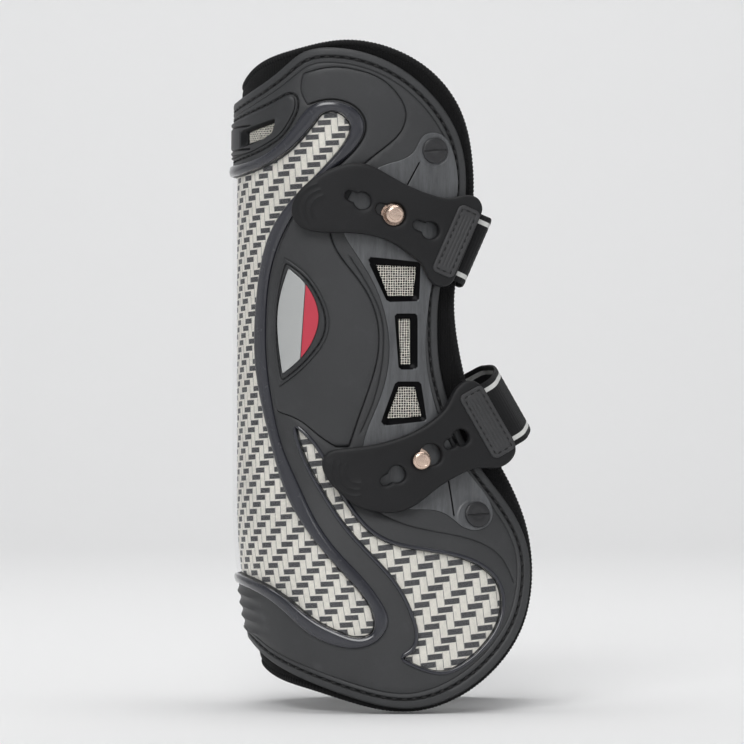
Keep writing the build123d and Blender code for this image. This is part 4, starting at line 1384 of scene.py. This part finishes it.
# ---- Each side: lower window, overlay, badge and bridge -------------------------------------
for word, side in SIDES.items():
    opening = side_loop(LOWER_LINE, side, 1.0)
    window = offset_loop(opening, 0.1)
    film = panel(f"lower_film_{word}", BOOT, [window], *FILM)
    dress(film, "lower_film", nodes=(f"lower_film_{word}",))
    cover = panel(f"lower_cover_{word}", BOOT, [window], 1.6, 2.75, 3.0, (0.9, 0.4))
    dress(cover, "cover", nodes=(f"lower_cover_{word}",))
    rim = panel(f"lower_bezel_{word}", BOOT, [offset_loop(opening, -1.4), opening], 2.9, 3.7,
                1.6, (0.65, 0.5))
    dress(rim, "bezel", nodes=(f"lower_bezel_{word}",))

    outline = side_loop(OVERLAY_LINE, side, 1.0)
    overlay = panel(f"overlay_{word}", BOOT, [outline], 2.6, 3.85, 1.8, (0.8, 0.75))
    dress(overlay, "overlay", nodes=(f"overlay_panel_{word}",))

    # Badge: a black frame, a grey plate and a red accent.
    edge = side_loop(BADGE_FRAME, side, 0.8)
    face = side_loop(BADGE_LINE, side, 0.8)
    seam_line = offset_loop(edge, 1.35)
    surround = panel(f"badge_frame_{word}", BOOT, [edge, offset_loop(face, -0.2)], 3.7, 4.65,
                     1.0, (0.45, 0.4), [Groove(seam_line, 1.1, 0.5, True)])
    dress(surround, "frame")
    sewn = stitches(f"badge_seam_{word}", BOOT, [(seam_line, True)], 4.2, 2.6, 1.6, 0.24)
    dress(sewn, "thread")
    rear, front = split_badge(face, side)
    plate = panel(f"badge_plate_{word}", BOOT, [rear], *PLATE)
    dress(plate, "badge", nodes=(f"badge_plate_{word}",))
    accent = panel(f"badge_accent_{word}", BOOT, [front], *PLATE)
    dress(accent, "accent", nodes=(f"badge_accent_{word}",))

    # Bridge with sloped windows, bosses round its screws, and woven wire behind.
    outline = side_loop(BRIDGE_LINE, side, 1.0)
    mouths, floors = ([BOOT.domain(polygon(vent), side) for vent in vents]
                      for vents in (VENTS, VENT_FLOORS))
    bosses = [BOOT.domain(circle(strap["screw"], 6.2), side) for strap in STRAPS.values()]
    ridges = [BOOT.domain(spline(line), side) for line in BRIDGE_RIDGES]
    parts = [Groove(boss, 1.8, -0.3, True) for boss in bosses]
    parts += [Groove(ridge, 1.0, 0.3) for ridge in ridges]
    parts += [Recess(mouth, 0.0, 0.05) for mouth in mouths]
    bridge = panel(f"bridge_{word}", BOOT, [outline] + floors, 1.95, 3.4, 1.6, (0.45, 0.3), parts,
                   slopes(mouths, floors, 3.4, 2.2))
    dress(bridge, "bridge", nodes=(f"flex_bridge_{word}",))
    areas = [offset_loop(low, -1.0) for low in floors]
    weave = wire_mesh(f"vent_wire_{word}", BOOT, areas, 1.62)
    dress(weave, "wire", nodes=(f"vent_mesh_{word}",))

# ---- Collar ---------------------------------------------------------------------------------
collar_mouths, collar_floors = ([BOOT.domain(polygon(vent), side) for side in SIDES.values()]
                                for vent in (COLLAR_VENT, COLLAR_FLOOR))
run = np.arange(-24.0, 24.1, 1.0)
collar_ribs = [Groove(np.c_[run, np.full(len(run), z)], 1.6, 0.7) for z in COLLAR_RIB_LEVELS]
collar_ribs += [Recess(mouth, 0.0, 0.05) for mouth in collar_mouths]
collar = panel("collar_frame", BOOT, [collar_loop] + collar_floors, 1.3, 3.8, 1.4, (0.6, 0.5),
               collar_ribs, slopes(collar_mouths, collar_floors, 3.8, 2.0))
dress(collar, "collar", nodes=("collar_vent_frame",))
areas = [offset_loop(low, -0.7) for low in collar_floors]
weave = wire_mesh("collar_wire", BOOT, areas, 1.15, 0.8, 0.12)
dress(weave, "wire", nodes=("collar_vent_mesh",))

# ---- Fasteners ------------------------------------------------------------------------------
# Rows of radius and height.
HEAD_LOW = TAB_TOP + 0.35
BRIDGE_TOP = 3.45
STUD_PROFILE = [
    (2.0, 0.1), (2.0, BRIDGE_TOP), (4.3, BRIDGE_TOP), (4.6, 3.7), (4.6, 4.15), (4.35, 4.4),
    (1.9, 4.4), (1.7, 4.6), (1.7, HEAD_LOW - 0.2),
] + [(radius, HEAD_LOW + up) for radius, up in [
    (1.9, 0), (2.9, 0), (3.2, 0.15), (3.3, 0.5), (3.3, 0.9), (3.15, 1.15), (2.5, 1.55),
    (2.3, 1.6), (2.15, 1.5), (2.0, 1.52), (1.2, 1.62), (0.3, 1.66),
]]
SCREW_PROFILE = [
    (2.0, 0.1), (2.0, BRIDGE_TOP), (4.5, BRIDGE_TOP), (4.8, 3.6), (4.8, 4.05), (4.68, 4.3),
    (4.4, 4.45), (3.0, 4.52), (0.3, 4.54),
]
WASHER_PROFILE = [(2.05, 0.05), (4.2, 0.05), (4.4, 0.15), (4.4, 0.5), (4.2, 0.6), (2.05, 0.6)]
stud_spots = [FlatSpot(TAB, strap["stud"]) for strap in STRAPS.values()]
studs = turned("studs", stud_spots, STUD_PROFILE)
dress(studs, "stud", nodes=("strap_studs",))
screw_spots = [
    FlatSpot(BOOT, BOOT.domain(np.array([strap["screw"]], float), side, 0.0)[0])
    for side in SIDES.values() for strap in STRAPS.values()
]
screws = turned("screws", screw_spots, SCREW_PROFILE)
cut_slots(screws, screw_spots)
dress(screws, "screw", nodes=("bridge_screws",))
washers = turned("washers", stud_spots + screw_spots, WASHER_PROFILE)
dress(washers, "washer", nodes=("fastener_washers",))

# ---- Straps ---------------------------------------------------------------------------------
ANCHOR_LOW, ANCHOR_TOP = 5.25, 6.7

for name, strap in STRAPS.items():
    holes = [keyhole(strap, place, *keyhole_radii(strap, place)) for place in strap["holes"]]
    outline = smooth_loop(trace(TAB_LINES[name], 1.0), 3)
    parts = [Groove(line, 1.6, -0.3) for line in grip_lines(strap)]
    tab = panel(f"{name}_tab", TAB, [outline] + holes, TAB_LOW, TAB_TOP, 1.5, (1.5, 1.0), parts,
                low_edge=(0.8, -0.4))
    dress(tab, "tab", f"{name}_strap", (f"{name}_tab",))
    border = strip(strap, *strap["patch"], 27.0, 2.2)
    inner = offset_loop(border, 1.5)
    parts = [Groove(inner, 0.8, 0.22, True)]
    for u in np.arange(-7.2, -3.0, 1.3):
        rib = np.array([along(strap, u, w) for w in np.arange(-10.0, 10.1, 1.0)])
        parts.append(Groove(rib, 0.8, 0.16))
    patch = panel(f"{name}_tab_patch", TAB, [border], 8.6, 9.45, 1.0, (0.45, 0.4), parts)
    dress(patch, "patch", f"{name}_strap", (f"{name}_tab_patch",))
    sewn = stitches(f"{name}_patch_seam", TAB, [(inner, True)], 9.25, 2.6, 1.7, 0.3)
    dress(sewn, "thread", f"{name}_strap")

    border = strip(strap, -23.0, -5.0, WEB_WIDTH + 5.0, 3.0, strap["rise"])
    inner = offset_loop(border, 1.8)
    anchor = panel(f"{name}_anchor", TAB_MEDIAL, [border], ANCHOR_LOW, ANCHOR_TOP, 1.2, (0.9, 0.6),
                   [Groove(inner, 1.0, 0.3, True)])
    dress(anchor, "patch", "boot", (f"{name}_anchor_patch",))
    sewn = stitches(f"{name}_anchor_seam", TAB_MEDIAL, [(inner, True)], ANCHOR_TOP - 0.25,
                    2.8, 1.9, 0.25)
    dress(sewn, "thread")
    make_elastic(name, strap)


# ---- Light, floor and camera ----------------------------------------------------------------
def area_light(name, place, target, size, power):
    light = bpy.data.lights.new(name, "AREA")
    light.shape, light.size, light.energy = "SQUARE", size, power
    obj = bpy.data.objects.new(name, light)
    obj.location = place
    obj.rotation_euler = (Vector(target) - Vector(place)).to_track_quat("-Z", "Y").to_euler()
    bpy.context.scene.collection.objects.link(obj)


def studio_world(horizon, above):
    """Pale surroundings, brightest at the horizon."""
    world = bpy.data.worlds.new("world")
    bpy.context.scene.world = world
    world.use_nodes = True
    tree = world.node_tree
    where = tree.nodes.new("ShaderNodeTexCoord")
    parts = tree.nodes.new("ShaderNodeSeparateXYZ")
    fall = tree.nodes.new("ShaderNodeMapRange")
    fall.interpolation_type = "SMOOTHSTEP"
    for socket, value in (("From Min", 0.08), ("From Max", 0.4),
                          ("To Min", horizon), ("To Max", above)):
        fall.inputs[socket].default_value = value
    background = tree.nodes["Background"]
    background.inputs[0].default_value = (0.97, 0.98, 1.0, 1)
    tree.links.new(where.outputs["Generated"], parts.inputs[0])
    tree.links.new(parts.outputs[2], fall.inputs["Value"])
    tree.links.new(fall.outputs["Result"], background.inputs["Strength"])


# The floor runs into the wall behind along a quarter circle.
FLOOR_Z = CAD_BOUNDS[0][2] - 0.0005
SWEEP_START, SWEEP_RADIUS = 1.4, 0.7
FLOOR_HALF_WIDTH, WALL_TOP = 6.0, 5.0
rows = [(-6.0, FLOOR_Z), (-1.0, FLOOR_Z), (0.45, FLOOR_Z)]
for angle in np.linspace(0, math.pi / 2, 13):
    rows.append((SWEEP_START + SWEEP_RADIUS * math.sin(angle),
                 FLOOR_Z + SWEEP_RADIUS * (1 - math.cos(angle))))
rows.append((SWEEP_START + SWEEP_RADIUS, WALL_TOP))
verts = [(x, y, z) for y, z in rows for x in (-FLOOR_HALF_WIDTH, FLOOR_HALF_WIDTH)]
faces = [(2 * i, 2 * i + 1, 2 * i + 3, 2 * i + 2) for i in range(len(rows) - 1)]
mesh = bpy.data.meshes.new("floor")
mesh.from_pydata(verts, [], faces)
mesh.polygons.foreach_set("use_smooth", np.ones(len(faces), bool))
floor = bpy.data.objects.new("floor", mesh)
bpy.context.scene.collection.objects.link(floor)
floor_look = Net("floor").finish(color=(0.83, 0.83, 0.83), roughness=0.9, specular=0.1)
mesh.materials.append(floor_look)

BOOT_MIDDLE = (0, 0, 0)
area_light("key", (-0.35, -1.6, 1.3), BOOT_MIDDLE, 1.0, 19.5)
area_light("fill", (1.5, -1.1, 0.5), BOOT_MIDDLE, 1.2, 1.6)
area_light("rim", (-1.3, 0.6, 0.8), BOOT_MIDDLE, 0.8, 0.5)
area_light("top", (0.1, -0.1, 1.7), BOOT_MIDDLE, 1.2, 3.5)
area_light("wall", (0.0, 0.3, 1.8), (0.0, 2.1, 0.2), 1.4, 20)
studio_world(0.7, 0.25)
bpy.context.scene.view_settings.view_transform = "Standard"

CAMERA_DISTANCE, FRAME_WIDTH, WALL_Y, SENSOR = 1.6, 0.276, 0.036, 36.0
camera = bpy.data.cameras.new("camera")
camera.sensor_width = SENSOR
camera.lens = SENSOR * (CAMERA_DISTANCE - WALL_Y) / FRAME_WIDTH
camera_obj = bpy.data.objects.new("camera", camera)
camera_obj.location = (0.0158, -CAMERA_DISTANCE, 0.0011)
camera_obj.rotation_euler = (math.pi / 2, 0, 0)
bpy.context.scene.collection.objects.link(camera_obj)
bpy.context.scene.camera = camera_obj
